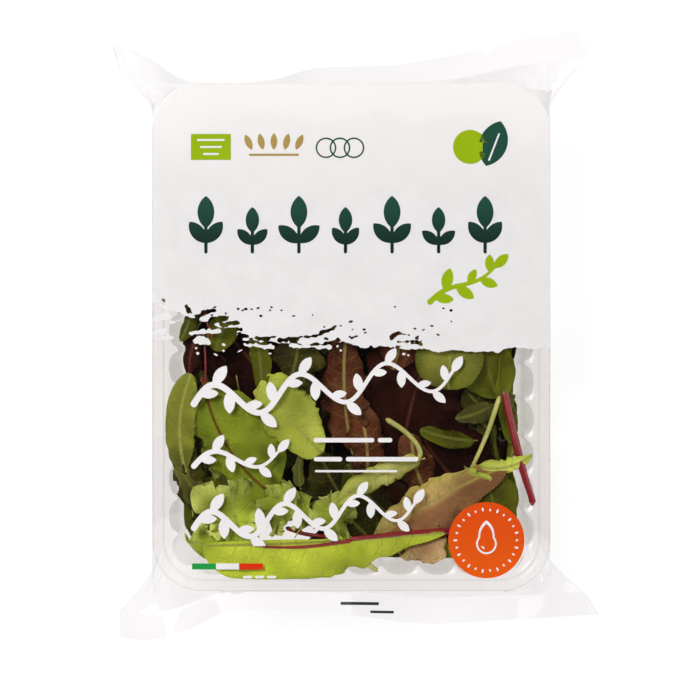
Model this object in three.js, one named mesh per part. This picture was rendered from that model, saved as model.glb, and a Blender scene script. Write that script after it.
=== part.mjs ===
// A flow-wrapped pack of salad leaves: a clear tray heaped with leaves, in a tube of clear film that is sealed
// flat at both ends. The pack is one closed solid, out to the surface of its film. It lies on the tray's base
// with its printed side up.
//
// Millimetres. +X runs across the pack, +Y along it and +Z up. The origin is at the centre of the footprint.
import * as THREE from "three";

// The tray's flange, which carries the film at the top, and its foot, where the film turns under.
const MOUTH = { halfWidth: 89, halfLength: 113.5, corner: 22 };
const FOOT = { halfWidth: 75, halfLength: 99.5, corner: 20 };
const HEIGHT = 50;

// The tray stands on a ring, and the film is drawn up a little inside it.
const RING_WIDTH = 7;
const RING_RAMP = 3;
const BASE_RISE = 1.2;

// The tube's lengthwise seal is a lap that lies flat inside the ring, off centre.
const LAP = { from: -1, to: 13, thickness: 0.7, step: 0.4 };

// The leaves push the film up: a low dome, and a few soft swellings, each [x, y, radius, height].
const DOME = 2.2;
const SWELLINGS = [
  [-48, 26, 24, 0.9],
  [-30, -34, 26, 1.1],
  [12, 62, 30, 0.8],
  [34, -10, 24, 1.0],
  [52, 30, 20, 0.7],
  [20, -62, 22, 0.8],
  [-52, -70, 18, 0.9],
  [-40, 78, 22, 0.7],
];

// The film bridges the tray's sides and bows in a little between the flange and the foot.
const SIDE_BOW = 1.3;
const FOLD_RADIUS = 0.9;

// Each end is a gusset that runs from the tray to a flat seal with a fin beyond it.
const FIN = { length: 12, thickness: 0.8, thinning: 10 };
const GUSSET_FLARE = 1.7;
const PLEAT = { height: 1.3, count: 5.5, from: 40, full: 90 };

// The flattened tube is half its girth wide, so its ears reach past the tray.
const SIDE_SLANT = Math.hypot(MOUTH.halfWidth - FOOT.halfWidth, HEIGHT);
const EAR = (MOUTH.halfWidth + SIDE_SLANT + FOOT.halfWidth) / 2;

// The inner edge of each seal. Each row is the share of the way from the middle to an ear, x, distance along
// the pack from its centre, height, the fin's pitch in degrees above level, and its outer edge's shift in x.
const FAR_SEAL = [
  [-1.0, -105.5, 121, 34, 36, -2.5],
  [-0.86, -92, 116.5, 34, -20, -1.5],
  [-0.7, -75, 114.6, 32, -74, -1],
  [-0.35, -37, 114.4, 31, -72, 0],
  [-0.15, -16, 114.8, 31, -46, 0],
  [0.2, 21, 115.2, 31, -38, 0],
  [0.45, 48, 117.5, 31, -18, 0],
  [0.7, 76, 123.5, 31, 4, 1],
  [0.88, 96, 126.5, 30, 8, 1.5],
  [1.0, 108, 127, 28, 4, 2],
];
const NEAR_SEAL = [
  [-1.0, -106, 124, 26, -10, 0],
  [-0.85, -92, 125.5, 29, 6, -1],
  [-0.7, -76, 121.5, 31, 10, -1],
  [-0.54, -58, 114.8, 31, -28, 0],
  [0.0, 0, 114.8, 30, -16, 0],
  [0.3, 32, 117.6, 31, 4, 0],
  [0.6, 64, 116.8, 31, -12, 1],
  [0.85, 91, 115.8, 29, -20, 3],
  [1.0, 106.5, 115.4, 25, -22, 8],
];

// Where the surface is sampled: half the girth as distances across a seal, and each half of the length as
// shares of the tray, of the gusset and of the fin.
const ACROSS = [
  0, 7, 15, 23, 31, 39, 47, 54, 60, 65, 68, 71.5, 74, 75, 76, 79, 83, 86.5, 88, 89, 90, 92, 96, 100, 104, EAR,
];
const ALONG_TRAY = [0, 0.14, 0.28, 0.42, 0.56, 0.7, 0.82, 0.9, 0.93, 0.96, 0.985, 1];
const ALONG_GUSSET = [0.03, 0.12, 0.28, 0.45, 0.62, 0.8, 1];
const ALONG_FIN = [0.5, 1];

const { lerp, clamp, smoothstep, degToRad } = THREE.MathUtils;

// How far along the pack a rounded rectangle reaches at a distance across it.
function reach({ halfWidth, halfLength, corner }, x) {
  const past = clamp(Math.abs(x) - (halfWidth - corner), 0, corner);
  return halfLength - corner + Math.sqrt(corner ** 2 - past ** 2);
}

// The film's height over the tray.
function topHeight(x, y) {
  const fade = (1 - (x / MOUTH.halfWidth) ** 2) * (1 - (y / MOUTH.halfLength) ** 2);
  const pushed = SWELLINGS.reduce(
    (sum, [cx, cy, radius, height]) => sum + height * Math.exp(-((x - cx) ** 2 + (y - cy) ** 2) / radius ** 2),
    DOME,
  );
  return HEIGHT + Math.max(fade, 0) * pushed;
}

// The film's height under the tray, with the lap on it.
function baseHeight(x, y) {
  const inset = Math.min(FOOT.halfWidth - Math.abs(x), reach(FOOT, x) - Math.abs(y));
  const lifted = smoothstep(inset - RING_WIDTH, 0, RING_RAMP);
  const onLap = smoothstep(x, LAP.from - LAP.step, LAP.from) * (1 - smoothstep(x, LAP.to, LAP.to + LAP.step));
  return lifted * (BASE_RISE - LAP.thickness * onLap);
}

// A point of the film where it is on the tray. girth runs round the tube from the middle of the top.
function onTray(girth, share) {
  const side = Math.sign(girth) || 1;
  const past = Math.abs(girth) - MOUTH.halfWidth;
  if (past <= 0) {
    const y = share * reach(MOUTH, girth);
    return new THREE.Vector3(girth, y, topHeight(girth, y));
  }
  if (past >= SIDE_SLANT) {
    const x = side * (FOOT.halfWidth - (past - SIDE_SLANT));
    const y = share * reach(FOOT, x);
    return new THREE.Vector3(x, y, baseHeight(x, y));
  }
  const down = past / SIDE_SLANT;
  const bow = SIDE_BOW * Math.sin(Math.PI * down) * (1 - share ** 4);
  const x = side * (lerp(MOUTH.halfWidth, FOOT.halfWidth, down) - bow);
  const y = share * lerp(reach(MOUTH, MOUTH.halfWidth), reach(FOOT, FOOT.halfWidth), down);
  return new THREE.Vector3(x, y, HEIGHT * (1 - down));
}

// One column of a seal's table at a share of the way across, on a smooth curve through its rows.
function blended(rows, column, share) {
  const last = rows.length - 1;
  const i = clamp(rows.findIndex((row) => row[0] >= share), 1, last);
  const slope = (k) => {
    const before = rows[Math.max(k - 1, 0)];
    const after = rows[Math.min(k + 1, last)];
    return (after[column] - before[column]) / (after[0] - before[0]);
  };
  const gap = rows[i][0] - rows[i - 1][0];
  const u = (share - rows[i - 1][0]) / gap;
  return (
    rows[i - 1][column] * (1 + 2 * u) * (1 - u) ** 2 +
    rows[i][column] * u ** 2 * (3 - 2 * u) +
    gap * (slope(i - 1) * u * (1 - u) ** 2 - slope(i) * u ** 2 * (1 - u))
  );
}

// A point of a seal's fin, out from its inner edge. The top sheet lies on the bottom one.
function onFin(girth, end, out) {
  const isTop = Math.abs(girth) <= EAR;
  const across = isTop ? girth : Math.sign(girth) * (2 * EAR - Math.abs(girth));
  const share = clamp(across / EAR, -1, 1);
  const rows = end > 0 ? FAR_SEAL : NEAR_SEAL;
  const pitch = degToRad(blended(rows, 4, share));
  const lift = (isTop ? 0.5 : -0.5) * FIN.thickness * (1 - Math.abs(share) ** FIN.thinning);
  const run = FIN.length * out;
  return new THREE.Vector3(
    blended(rows, 1, share) + out * blended(rows, 5, share),
    end * (blended(rows, 2, share) + run * Math.cos(pitch) - lift * Math.sin(pitch)),
    blended(rows, 3, share) + run * Math.sin(pitch) + lift * Math.cos(pitch),
  );
}

// A point of a gusset: it leaves the tray along the pack, then flares to the seal.
function onGusset(girth, end, share) {
  const from = onTray(girth, end);
  const to = onFin(girth, end, 0);
  return new THREE.Vector3(
    lerp(from.x, to.x, share ** GUSSET_FLARE),
    lerp(from.y, to.y, share),
    lerp(from.z, to.z, share),
  );
}

// How far the pleats lift the film outwards. They run along the gussets, between the corners and the ears.
function pleatHeight(girth, along) {
  const share = clamp(Math.abs(along) - 1, 0, 1);
  const across = Math.min(Math.abs(girth), 2 * EAR - Math.abs(girth));
  const nearCorner = smoothstep(across, PLEAT.from, PLEAT.full) * smoothstep(EAR - across, 0, EAR - PLEAT.full);
  return PLEAT.height * nearCorner * Math.sin(Math.PI * share) * Math.sin((2 * Math.PI * PLEAT.count * girth) / EAR);
}

// The film's surface. along runs 0 to 1 over the tray, 1 to 2 over a gusset and 2 to 3 over a fin.
function film(girth, along) {
  const end = Math.sign(along) || 1;
  const distance = Math.abs(along);
  if (distance <= 1) return onTray(girth, along);
  if (distance <= 2) return onGusset(girth, end, distance - 1);
  return onFin(girth, end, distance - 2);
}

// The same surface with its folds rounded, by the mean of each point and its neighbours round the tube.
function softFilm(girth, along) {
  const fold = FOLD_RADIUS * clamp(2 - Math.abs(along), 0, 1);
  const wrap = (g) => (g > 2 * EAR ? g - 4 * EAR : g < -2 * EAR ? g + 4 * EAR : g);
  return film(girth, along)
    .multiplyScalar(2)
    .add(film(wrap(girth - fold), along))
    .add(film(wrap(girth + fold), along))
    .divideScalar(4);
}

// The girths of one ring of the mesh: along the top sheet from ear to ear, then back along the bottom one.
function ringGirths() {
  const mirrored = [...ACROSS.slice(1).reverse().map((x) => -x), ...ACROSS];
  const lapEdges = [LAP.from - LAP.step, LAP.from, LAP.to, LAP.to + LAP.step];
  const under = [...new Set([...mirrored, ...lapEdges])].sort((a, b) => b - a).slice(1, -1);
  const roundTheBack = under.map((x) => (x >= 0 ? 2 * EAR - x : -2 * EAR - x));
  return { girths: [...mirrored, ...roundTheBack], earIndex: mirrored.length - 1 };
}

// Joins two chains of vertices that share both ends into a strip, each triangle facing along the chains' left.
function zip(above, below, vertexX, flip, faces) {
  let i = 0;
  let j = 0;
  while (i < above.length - 1 || j < below.length - 1) {
    const stepAbove = j === below.length - 1 || (i < above.length - 1 && vertexX(above[i + 1]) <= vertexX(below[j + 1]));
    const triangle = stepAbove ? [above[i], above[i + 1], below[j]] : [above[i], below[j + 1], below[j]];
    if (new Set(triangle).size === 3) faces.push(...(flip ? triangle.reverse() : triangle));
    if (stepAbove) i += 1;
    else j += 1;
  }
}

function packGeometry() {
  const half = [...ALONG_TRAY, ...ALONG_GUSSET.map((s) => 1 + s), ...ALONG_FIN.map((s) => 2 + s)];
  const rings = [...half.slice(1).reverse().map((a) => -a), ...half];
  const { girths, earIndex } = ringGirths();
  const size = girths.length;
  const points = rings.flatMap((along) => girths.map((girth) => softFilm(girth, along)));
  const faces = [];
  for (let r = 0; r + 1 < rings.length; r += 1) {
    for (let k = 0; k < size; k += 1) {
      const [a, b] = [r * size + k, r * size + ((k + 1) % size)];
      faces.push(a, b, b + size, a, b + size, a + size);
    }
  }
  for (const [ring, flip] of [[0, true], [rings.length - 1, false]]) {
    const index = (k) => ring * size + (k % size);
    const above = Array.from({ length: earIndex + 1 }, (_, k) => index(k));
    const below = Array.from({ length: size - earIndex + 1 }, (_, k) => index(size - k));
    zip(above, below, (v) => points[v].x, flip, faces);
  }
  const geometry = new THREE.BufferGeometry().setFromPoints(points);
  geometry.setIndex(faces);
  geometry.computeVertexNormals();
  rings.forEach((along, r) => {
    girths.forEach((girth, k) => {
      const vertex = r * size + k;
      const normal = new THREE.Vector3().fromBufferAttribute(geometry.attributes.normal, vertex);
      const lifted = points[vertex].clone().addScaledVector(normal, pleatHeight(girth, along));
      geometry.attributes.position.setXYZ(vertex, lifted.x, lifted.y, lifted.z);
    });
  });
  geometry.computeBoundingBox();
  const centre = geometry.boundingBox.getCenter(new THREE.Vector3());
  geometry.translate(-centre.x, -centre.y, 0);
  geometry.computeVertexNormals();
  return geometry;
}

const packMaterial = new THREE.MeshStandardMaterial({ color: 0x8d9a4c, roughness: 0.25, metalness: 0 });

const pack = new THREE.Mesh(packGeometry(), packMaterial);
pack.name = "bag";

const group = new THREE.Group();
group.add(pack);

export default group;
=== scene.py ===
"""Dresses the pack of salad leaves: clear printed film, the clear tray in it, and the leaves."""

import math
from collections import namedtuple
from itertools import product

import bpy
import numpy as np
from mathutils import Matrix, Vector


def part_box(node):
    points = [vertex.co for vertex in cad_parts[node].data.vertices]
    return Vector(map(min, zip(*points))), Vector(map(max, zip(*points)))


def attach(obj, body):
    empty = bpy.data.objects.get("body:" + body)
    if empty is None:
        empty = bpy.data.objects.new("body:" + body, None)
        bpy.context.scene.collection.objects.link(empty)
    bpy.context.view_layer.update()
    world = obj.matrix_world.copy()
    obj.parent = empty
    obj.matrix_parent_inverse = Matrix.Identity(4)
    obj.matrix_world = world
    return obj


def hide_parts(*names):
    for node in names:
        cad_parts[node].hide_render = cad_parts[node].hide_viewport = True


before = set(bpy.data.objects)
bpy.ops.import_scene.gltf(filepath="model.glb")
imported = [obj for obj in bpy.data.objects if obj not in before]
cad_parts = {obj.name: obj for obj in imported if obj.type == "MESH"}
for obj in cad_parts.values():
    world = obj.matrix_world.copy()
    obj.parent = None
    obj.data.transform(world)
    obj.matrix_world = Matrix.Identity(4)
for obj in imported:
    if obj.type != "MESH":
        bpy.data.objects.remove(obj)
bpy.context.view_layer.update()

# Sizes are in millimetres, in the tray's own frame: its centre over the origin, +Y towards the far seal.
MM = 0.001
SEED = 20

# The tray's flange and foot, and the film's shape round them, as in the part's source.
Outline = namedtuple("Outline", "half_width half_length corner")
MOUTH = Outline(89, 113.5, 22)
FOOT = Outline(75, 99.5, 20)
HEIGHT = 50
RING_WIDTH, RING_RAMP, BASE_RISE = 7, 3, 1.2
LAP_FROM, LAP_TO, LAP_THICKNESS, LAP_STEP = -1, 13, 0.7, 0.4
DOME = 2.2
SWELLINGS = [
    (-48, 26, 24, 0.9),
    (-30, -34, 26, 1.1),
    (12, 62, 30, 0.8),
    (34, -10, 24, 1.0),
    (52, 30, 20, 0.7),
    (20, -62, 22, 0.8),
    (-52, -70, 18, 0.9),
    (-40, 78, 22, 0.7),
]
SIDE_BOW = 1.3
FOLD_RADIUS = 0.9
FIN_LENGTH = 12
FIN_GAP = 0.3
GUSSET_FLARE = 1.7
CREASES_PER_QUARTER = 16
CREASES_FROM = 46
CREASE_SPREAD = 0.33
SIDE_SLANT = math.hypot(MOUTH.half_width - FOOT.half_width, HEIGHT)
EAR = (MOUTH.half_width + SIDE_SLANT + FOOT.half_width) / 2

# Each seal's inner edge: share of the way to an ear, x, distance along the pack, height, the fin's pitch in
# degrees, and its outer edge's shift in x.
FAR_SEAL = np.array([
    (-1.0, -105.5, 121, 34, 36, -2.5),
    (-0.86, -92, 116.5, 34, -20, -1.5),
    (-0.7, -75, 114.6, 32, -74, -1),
    (-0.35, -37, 114.4, 31, -72, 0),
    (-0.15, -16, 114.8, 31, -46, 0),
    (0.2, 21, 115.2, 31, -38, 0),
    (0.45, 48, 117.5, 31, -18, 0),
    (0.7, 76, 123.5, 31, 4, 1),
    (0.88, 96, 126.5, 30, 8, 1.5),
    (1.0, 108, 127, 28, 4, 2),
])
NEAR_SEAL = np.array([
    (-1.0, -106, 124, 26, -10, 0),
    (-0.85, -92, 125.5, 29, 6, -1),
    (-0.7, -76, 121.5, 31, 10, -1),
    (-0.54, -58, 114.8, 31, -28, 0),
    (0.0, 0, 114.8, 30, -16, 0),
    (0.3, 32, 117.6, 31, 4, 0),
    (0.6, 64, 116.8, 31, -12, 1),
    (0.85, 91, 115.8, 29, -20, 3),
    (1.0, 106.5, 115.4, 25, -22, 8),
])

# The web is the flat film, before it is wrapped: its length runs over half the tray, a gusset and a fin.
WEB_TRAY = MOUTH.half_length
WEB_SEAL = WEB_TRAY + 25
WEB_END = WEB_SEAL + FIN_LENGTH

# The photograph: its scale at the flange, and the pixel over the tray's centre. It is 700 pixels square.
MM_PER_PX = 0.446
TRAY_PX = (351.3, 337.6)
PHOTO_PX = 700


def px(x, y):
    """A pixel of the photograph as a place over the tray."""
    return np.array([(x - TRAY_PX[0]) * MM_PER_PX, (TRAY_PX[1] - y) * MM_PER_PX])


# Small maths.
def lerp(a, b, t):
    return a + (b - a) * t


def smoothstep(low, high, value):
    t = np.clip((value - low) / (high - low), 0, 1)
    return t * t * (3 - 2 * t)


def unit(vectors):
    return vectors / np.maximum(np.linalg.norm(vectors, axis=-1, keepdims=True), 1e-9)


LATTICE = np.random.default_rng(SEED).uniform(-1, 1, (256, 256))


def noise(x, y=0.0, layer=0):
    """Smooth random values from -1 to 1. Each layer is a field of its own."""
    x = np.asarray(x, float) + 37.3 * layer
    y = np.asarray(y, float) + 71.9 * layer
    column, row = np.floor(x).astype(int), np.floor(y).astype(int)
    u, v = smoothstep(0, 1, x - column), smoothstep(0, 1, y - row)

    def edge(step):
        start, end = (LATTICE[(column + k) & 255, (row + step) & 255] for k in (0, 1))
        return lerp(start, end, u)

    return lerp(edge(0), edge(1), v)


def linear(red, green, blue):
    """A colour read off the photograph, from 0 to 255, as scene light."""
    c = np.array([red, green, blue]) / 255
    return np.where(c <= 0.04045, c / 12.92, ((c + 0.055) / 1.055) ** 2.4)


# The film's surface.
def reach(outline, x):
    """How far along the pack a rounded rectangle reaches at a distance across it."""
    past = np.clip(np.abs(x) - (outline.half_width - outline.corner), 0, outline.corner)
    return outline.half_length - outline.corner + np.sqrt(outline.corner ** 2 - past ** 2)


def top_height(x, y):
    """The top sheet over the tray: a shallow dome with the leaves' swellings."""
    fade = (1 - (x / MOUTH.half_width) ** 2) * (1 - (y / MOUTH.half_length) ** 2)
    pushed = sum(h * np.exp(-((x - cx) ** 2 + (y - cy) ** 2) / r ** 2) for cx, cy, r, h in SWELLINGS)
    return HEIGHT + np.maximum(fade, 0) * (DOME + pushed)


def base_height(x, y):
    """The bottom sheet: flat on the foot ring, raised inside it, and thicker along the lap seal."""
    inset = np.minimum(FOOT.half_width - np.abs(x), reach(FOOT, x) - np.abs(y))
    on_lap = smoothstep(LAP_FROM - LAP_STEP, LAP_FROM, x) - smoothstep(LAP_TO, LAP_TO + LAP_STEP, x)
    return smoothstep(0, RING_RAMP, inset - RING_WIDTH) * (BASE_RISE - LAP_THICKNESS * on_lap)


def by_sheet(past, top, side, under):
    """Picks a value for film that is on the tray's top, past its edge by a distance, or past its side."""
    return np.where(past <= 0, top, np.where(past >= SIDE_SLANT, under, side))


def tray_reach(girth):
    """How far along the pack the film touches the tray, at a distance round the tube."""
    past = np.abs(girth) - MOUTH.half_width
    down = np.clip(past / SIDE_SLANT, 0, 1)
    under = np.clip(FOOT.half_width - (past - SIDE_SLANT), 0, FOOT.half_width)
    side = lerp(reach(MOUTH, MOUTH.half_width), reach(FOOT, FOOT.half_width), down)
    top = reach(MOUTH, np.minimum(np.abs(girth), MOUTH.half_width))
    return by_sheet(past, top, side, reach(FOOT, under))


def on_tray(girth, share):
    """The film where it is on the tray. girth runs round the tube from the middle of the top."""
    past = np.abs(girth) - MOUTH.half_width
    down = np.clip(past / SIDE_SLANT, 0, 1)
    bow = SIDE_BOW * np.sin(np.pi * down) * (1 - share ** 4)
    side_x = lerp(MOUTH.half_width, FOOT.half_width, down) - bow
    x = np.sign(girth) * by_sheet(past, np.abs(girth), side_x, FOOT.half_width - past + SIDE_SLANT)
    y = share * tray_reach(girth)
    z = by_sheet(past, top_height(x, y), HEIGHT * (1 - down), base_height(x, y))
    return np.stack(np.broadcast_arrays(x, y, z), -1)


def seal_value(rows, column, share):
    """One column of a seal's table on a smooth curve through its rows."""
    knots, values = rows[:, 0], rows[:, column]
    order = np.arange(len(knots))
    last = order[-1]
    before, after = np.maximum(order - 1, 0), np.minimum(order + 1, last)
    slopes = (values[after] - values[before]) / (knots[after] - knots[before])
    i = np.clip(np.searchsorted(knots, share), 1, last)
    gap = knots[i] - knots[i - 1]
    u = (share - knots[i - 1]) / gap
    start = values[i - 1] * (1 + 2 * u) * (1 - u) ** 2 + gap * slopes[i - 1] * u * (1 - u) ** 2
    return start + values[i] * u ** 2 * (3 - 2 * u) - gap * slopes[i] * u ** 2 * (1 - u)


def on_seal(girth, end, out):
    """A seal's fin, out from its inner edge. The top sheet lies on the bottom one."""
    is_top = np.abs(girth) <= EAR
    across = np.where(is_top, girth, np.sign(girth) * (2 * EAR - np.abs(girth)))
    share = np.clip(across / EAR, -1, 1)

    def column(k):
        return np.where(end > 0, seal_value(FAR_SEAL, k, share), seal_value(NEAR_SEAL, k, share))

    pitch = np.radians(column(4))
    lift = np.where(is_top, 0.5, -0.5) * FIN_GAP * (1 - np.abs(share) ** 10)
    run = FIN_LENGTH * out
    x = column(1) + out * column(5)
    y = end * (column(2) + run * np.cos(pitch) - lift * np.sin(pitch))
    z = column(3) + run * np.sin(pitch) + lift * np.cos(pitch)
    return np.stack(np.broadcast_arrays(x, y, z), -1)


def sharp_film(girth, web):
    """The film at a distance round the tube and a distance along the web."""
    girth = (girth + 2 * EAR) % (4 * EAR) - 2 * EAR
    along = np.interp(np.abs(web), [0, WEB_TRAY, WEB_SEAL, WEB_END], [0, 1, 2, 3])
    end = np.where(web < 0, -1.0, 1.0)
    start = on_tray(girth, end * np.minimum(along, 1))
    seal = on_seal(girth, end, np.clip(along - 2, 0, 1))
    share = np.clip(along - 1, 0, 1)[..., None]
    return lerp(start, seal, np.concatenate([share ** GUSSET_FLARE, share, share], -1))


def soft_film(girth, web):
    """The same with its folds rounded."""
    r = FOLD_RADIUS
    beside = sharp_film(girth - r, web) + sharp_film(girth + r, web)
    ahead = sharp_film(girth, web - r) + sharp_film(girth, web + r)
    return (4 * sharp_film(girth, web) + beside + ahead) / 8


def make_creases():
    """Seeded creases in each quarter of each sheet, that fan from a tray corner towards an ear."""
    rng = np.random.default_rng(SEED + 1)
    creases = []
    for end, side, is_top in product((-1, 1), (-1, 1), (True, False)):
        for across in rng.uniform(CREASES_FROM, EAR - 3, CREASES_PER_QUARTER):
            centre = side * (across if is_top else 2 * EAR - across)
            size = rng.uniform(0.4, 1.5) * rng.choice([-1, 1])
            drift, width, middle = rng.uniform(-9, 9), rng.uniform(0.8, 3.0), rng.uniform(0.3, 0.7)
            creases.append((end, centre, drift, width, size, middle))
    return creases


CREASES = make_creases()


def crease_height(girth, web):
    """How far creases lift the film outwards."""
    share = np.clip((np.abs(web) - WEB_TRAY) / (WEB_SEAL - WEB_TRAY), 0, 1.25)
    height = 0.1 * noise(girth / 23, web / 17, 1) * (share == 0)
    for end, centre, drift, width, size, middle in CREASES:
        offset = (girth - centre - drift * (share - 0.5)) / width
        along = np.exp(-((share - middle) / CREASE_SPREAD) ** 2) * smoothstep(0, 0.2, share)
        along = along * (1 - smoothstep(0.8, 1.05, share))
        ridge = size * along * np.exp(-np.sqrt(offset ** 2 + 0.05))
        height = height + np.where(np.sign(web) == end, ridge, 0)
    return height


def film_at(girth, web, lift=0.0):
    """The finished film, lifted outwards by a distance."""
    girth, web = np.broadcast_arrays(np.asarray(girth, float), np.asarray(web, float))
    h = 0.5
    round_it = soft_film(girth + h, web) - soft_film(girth - h, web)
    along_it = soft_film(girth, web + h) - soft_film(girth, web - h)
    normal = unit(np.cross(round_it, along_it))
    return soft_film(girth, web) + normal * (crease_height(girth, web) + lift)[..., None]


def web_at(girth, y):
    """The distance along the web of a place seen from above, on the tray or on a fin."""
    touch = tray_reach(girth)
    end = np.where(y < 0, -1.0, 1.0)
    inner, outer = (np.abs(on_seal(girth, end, out)[..., 1]) for out in (0.0, 1.0))
    on_fin = WEB_SEAL + FIN_LENGTH * (np.abs(y) - inner) / np.maximum(outer - inner, 1)
    return end * np.where(np.abs(y) <= touch, WEB_TRAY * np.abs(y) / touch, np.maximum(on_fin, WEB_SEAL))


def same_web(girth, web):
    return web


# Every mesh goes through here, from the tray's frame into the part's.
def tray_offset():
    """The tray's place in the part's frame, which is centred on the whole footprint."""
    girth, web = np.meshgrid(np.linspace(-EAR, EAR, 217), [-WEB_END, -WEB_SEAL, WEB_SEAL, WEB_END])
    points = sharp_film(girth, web).reshape(-1, 3)
    low, high = (np.array(corner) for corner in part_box("bag"))
    middle = (low + high) / 2 - (points.min(0) + points.max(0)) / 2 * MM
    return np.array([middle[0], middle[1], low[2]])


OFFSET = tray_offset()


def add_piece(name, points, faces, material, slot, uv=None, tint=None):
    """A mesh piece. faces is an array of rows of corners; uv and tint have one row for each point."""
    points = np.asarray(points, float).reshape(-1, 3) * MM + OFFSET
    faces = np.asarray(faces, np.int32)
    size = faces.shape[1]
    mesh = bpy.data.meshes.new(name)
    mesh.vertices.add(len(points))
    mesh.vertices.foreach_set("co", points.astype(np.float32).ravel())
    mesh.loops.add(faces.size)
    mesh.loops.foreach_set("vertex_index", faces.ravel())
    mesh.polygons.add(len(faces))
    mesh.polygons.foreach_set("loop_start", np.arange(0, faces.size, size, dtype=np.int32))
    mesh.polygons.foreach_set("use_smooth", np.full(len(faces), True))
    mesh.update(calc_edges=True)
    if uv is not None:
        layer = mesh.uv_layers.new(name="uv")
        layer.data.foreach_set("uv", np.asarray(uv, np.float32)[faces.ravel()].ravel())
    if tint is not None:
        colours = mesh.color_attributes.new("tint", "FLOAT_COLOR", "POINT")
        colours.data.foreach_set("color", np.asarray(tint, np.float32).ravel())
    mesh.validate()
    piece = bpy.data.objects.new(name, mesh)
    bpy.context.collection.objects.link(piece)
    mesh.materials.append(material)
    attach(piece, "root")
    return piece


def grid_faces(rows, columns, closed=False):
    """Quads of a grid of points, row by row. closed joins the last column to the first."""
    i, j = np.meshgrid(np.arange(rows - 1), np.arange(columns if closed else columns - 1), indexing="ij")
    start, k = i * columns, (j + 1) % columns
    return np.stack([start + j, start + k, start + columns + k, start + columns + j], -1).reshape(-1, 4)


def triangles(quads):
    return np.concatenate([quads[:, [0, 1, 2]], quads[:, [0, 2, 3]]])


# Materials.
class Shader:
    """A material's node tree, built a node to a line."""

    def __init__(self, name):
        self.material = bpy.data.materials.new(name)
        self.material.use_nodes = True
        self.tree = self.material.node_tree
        self.tree.nodes.clear()
        self.output = self.tree.nodes.new("ShaderNodeOutputMaterial")

    def node(self, kind, settings=None, **inputs):
        """Adds a node. Each input is a value or another node's output, and _ in its name is a space."""
        node = self.tree.nodes.new("ShaderNode" + kind)
        for key, value in (settings or {}).items():
            setattr(node, key, value)
        for key, value in inputs.items():
            self.feed(node.inputs[key.replace("_", " ")], value)
        return node

    def feed(self, socket, value):
        if isinstance(value, bpy.types.NodeSocket):
            self.tree.links.new(value, socket)
        elif hasattr(value, "__len__"):
            socket.default_value = (*value, 1)[: len(socket.default_value)]
        else:
            socket.default_value = value

    def math(self, operation, *values):
        node = self.node("Math", {"operation": operation})
        for socket, value in zip(node.inputs, values):
            self.feed(socket, value)
        return node.outputs[0]

    def add(self, *values):
        return self.math("ADD", *values)

    def times(self, *values):
        return self.math("MULTIPLY", *values)

    def ramp(self, value, low, high):
        """value rescaled so that low gives 0 and high gives 1, with smooth ends."""
        node = self.node("MapRange", {"interpolation_type": "SMOOTHSTEP"})
        for name, number in (("Value", value), ("From Min", low), ("From Max", high)):
            self.feed(node.inputs[name], number)
        return node.outputs["Result"]

    def mix(self, factor, a, b, blend="MIX"):
        node = self.node("Mix", {"data_type": "RGBA", "blend_type": blend})
        self.feed(node.inputs[0], factor)
        self.feed(node.inputs[6], a)
        self.feed(node.inputs[7], b)
        return node.outputs[2]

    def blend(self, factor, a, b):
        """A mix of two shaders."""
        node = self.node("MixShader")
        self.feed(node.inputs[0], factor)
        self.tree.links.new(a, node.inputs[1])
        self.tree.links.new(b, node.inputs[2])
        return node.outputs[0]

    def finish(self, surface):
        self.tree.links.new(surface, self.output.inputs["Surface"])
        return self.material


def clear_plastic(name, tint, milk, shine, roughness, haze, ripple, most):
    """Clear film or sheet, with gloss and a trace of milkiness that both grow at grazing views."""
    s = Shader(name)
    place = s.node("TexCoord").outputs["Object"]
    waves = s.node("TexNoise", Vector=place, Scale=ripple, Detail=3.0, Roughness=0.6).outputs["Fac"]
    bump = s.node("Bump", Strength=0.12, Distance=0.0004, Height=waves).outputs["Normal"]
    facing = s.node("LayerWeight", Blend=0.5, Normal=bump).outputs["Facing"]
    gloss = s.node("BsdfGlossy", Color=(1, 1, 1), Roughness=roughness, Normal=bump).outputs[0]
    grazing = s.math("POWER", facing, 5.0)
    shared = s.math("MINIMUM", s.add(s.times(grazing, 1 - shine), shine), most)
    tone = s.mix(facing, tint, tuple(c * 0.87 for c in tint))
    through = s.node("BsdfTransparent", Color=tone).outputs[0]
    cloud = s.node("BsdfDiffuse", Color=milk).outputs[0]
    path_length = s.math("DIVIDE", haze, s.math("SUBTRACT", 1.04, facing))
    body = s.blend(s.math("MINIMUM", path_length, 12 * haze), through, cloud)
    return s.finish(s.blend(shared, body, gloss))


def ink_material(name, colour, cover=1.0, deep=None):
    """Ink on the film's inner side: fine mottle, and for a gradient another colour towards +Y, which on the
    white band is a painted lightening and on the orange disc a painted shade.
    """
    s = Shader(name)
    place = s.node("TexCoord").outputs["Object"]
    mottle = s.node("TexNoise", Vector=place, Scale=90.0, Detail=4.0, Roughness=0.7).outputs["Fac"]
    shade = s.ramp(mottle, 0.2, 0.8)
    start = tuple(0.93 * c for c in colour)
    tone = s.mix(shade, start, tuple(colour))
    if deep is not None:
        depth = s.ramp(s.node("SeparateXYZ", Vector=place).outputs["Y"], deep[1], deep[2])
        tone = s.mix(depth, tone, tuple(deep[0]))
    coat = s.node("BsdfPrincipled", Base_Color=tone, Roughness=0.6, Specular_IOR_Level=0.1).outputs[0]
    if cover == 1.0:
        return s.finish(coat)
    through = s.node("BsdfTransparent", Color=(1, 1, 1)).outputs[0]
    return s.finish(s.blend(cover, through, coat))


# The film.
def spread(*stretches):
    """Sorted distances, each stretch given as (from, to, step)."""
    parts = [np.linspace(a, b, max(2, round(abs(b - a) / step) + 1)) for a, b, step in stretches]
    return np.unique(np.round(np.concatenate(parts), 4))


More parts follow.
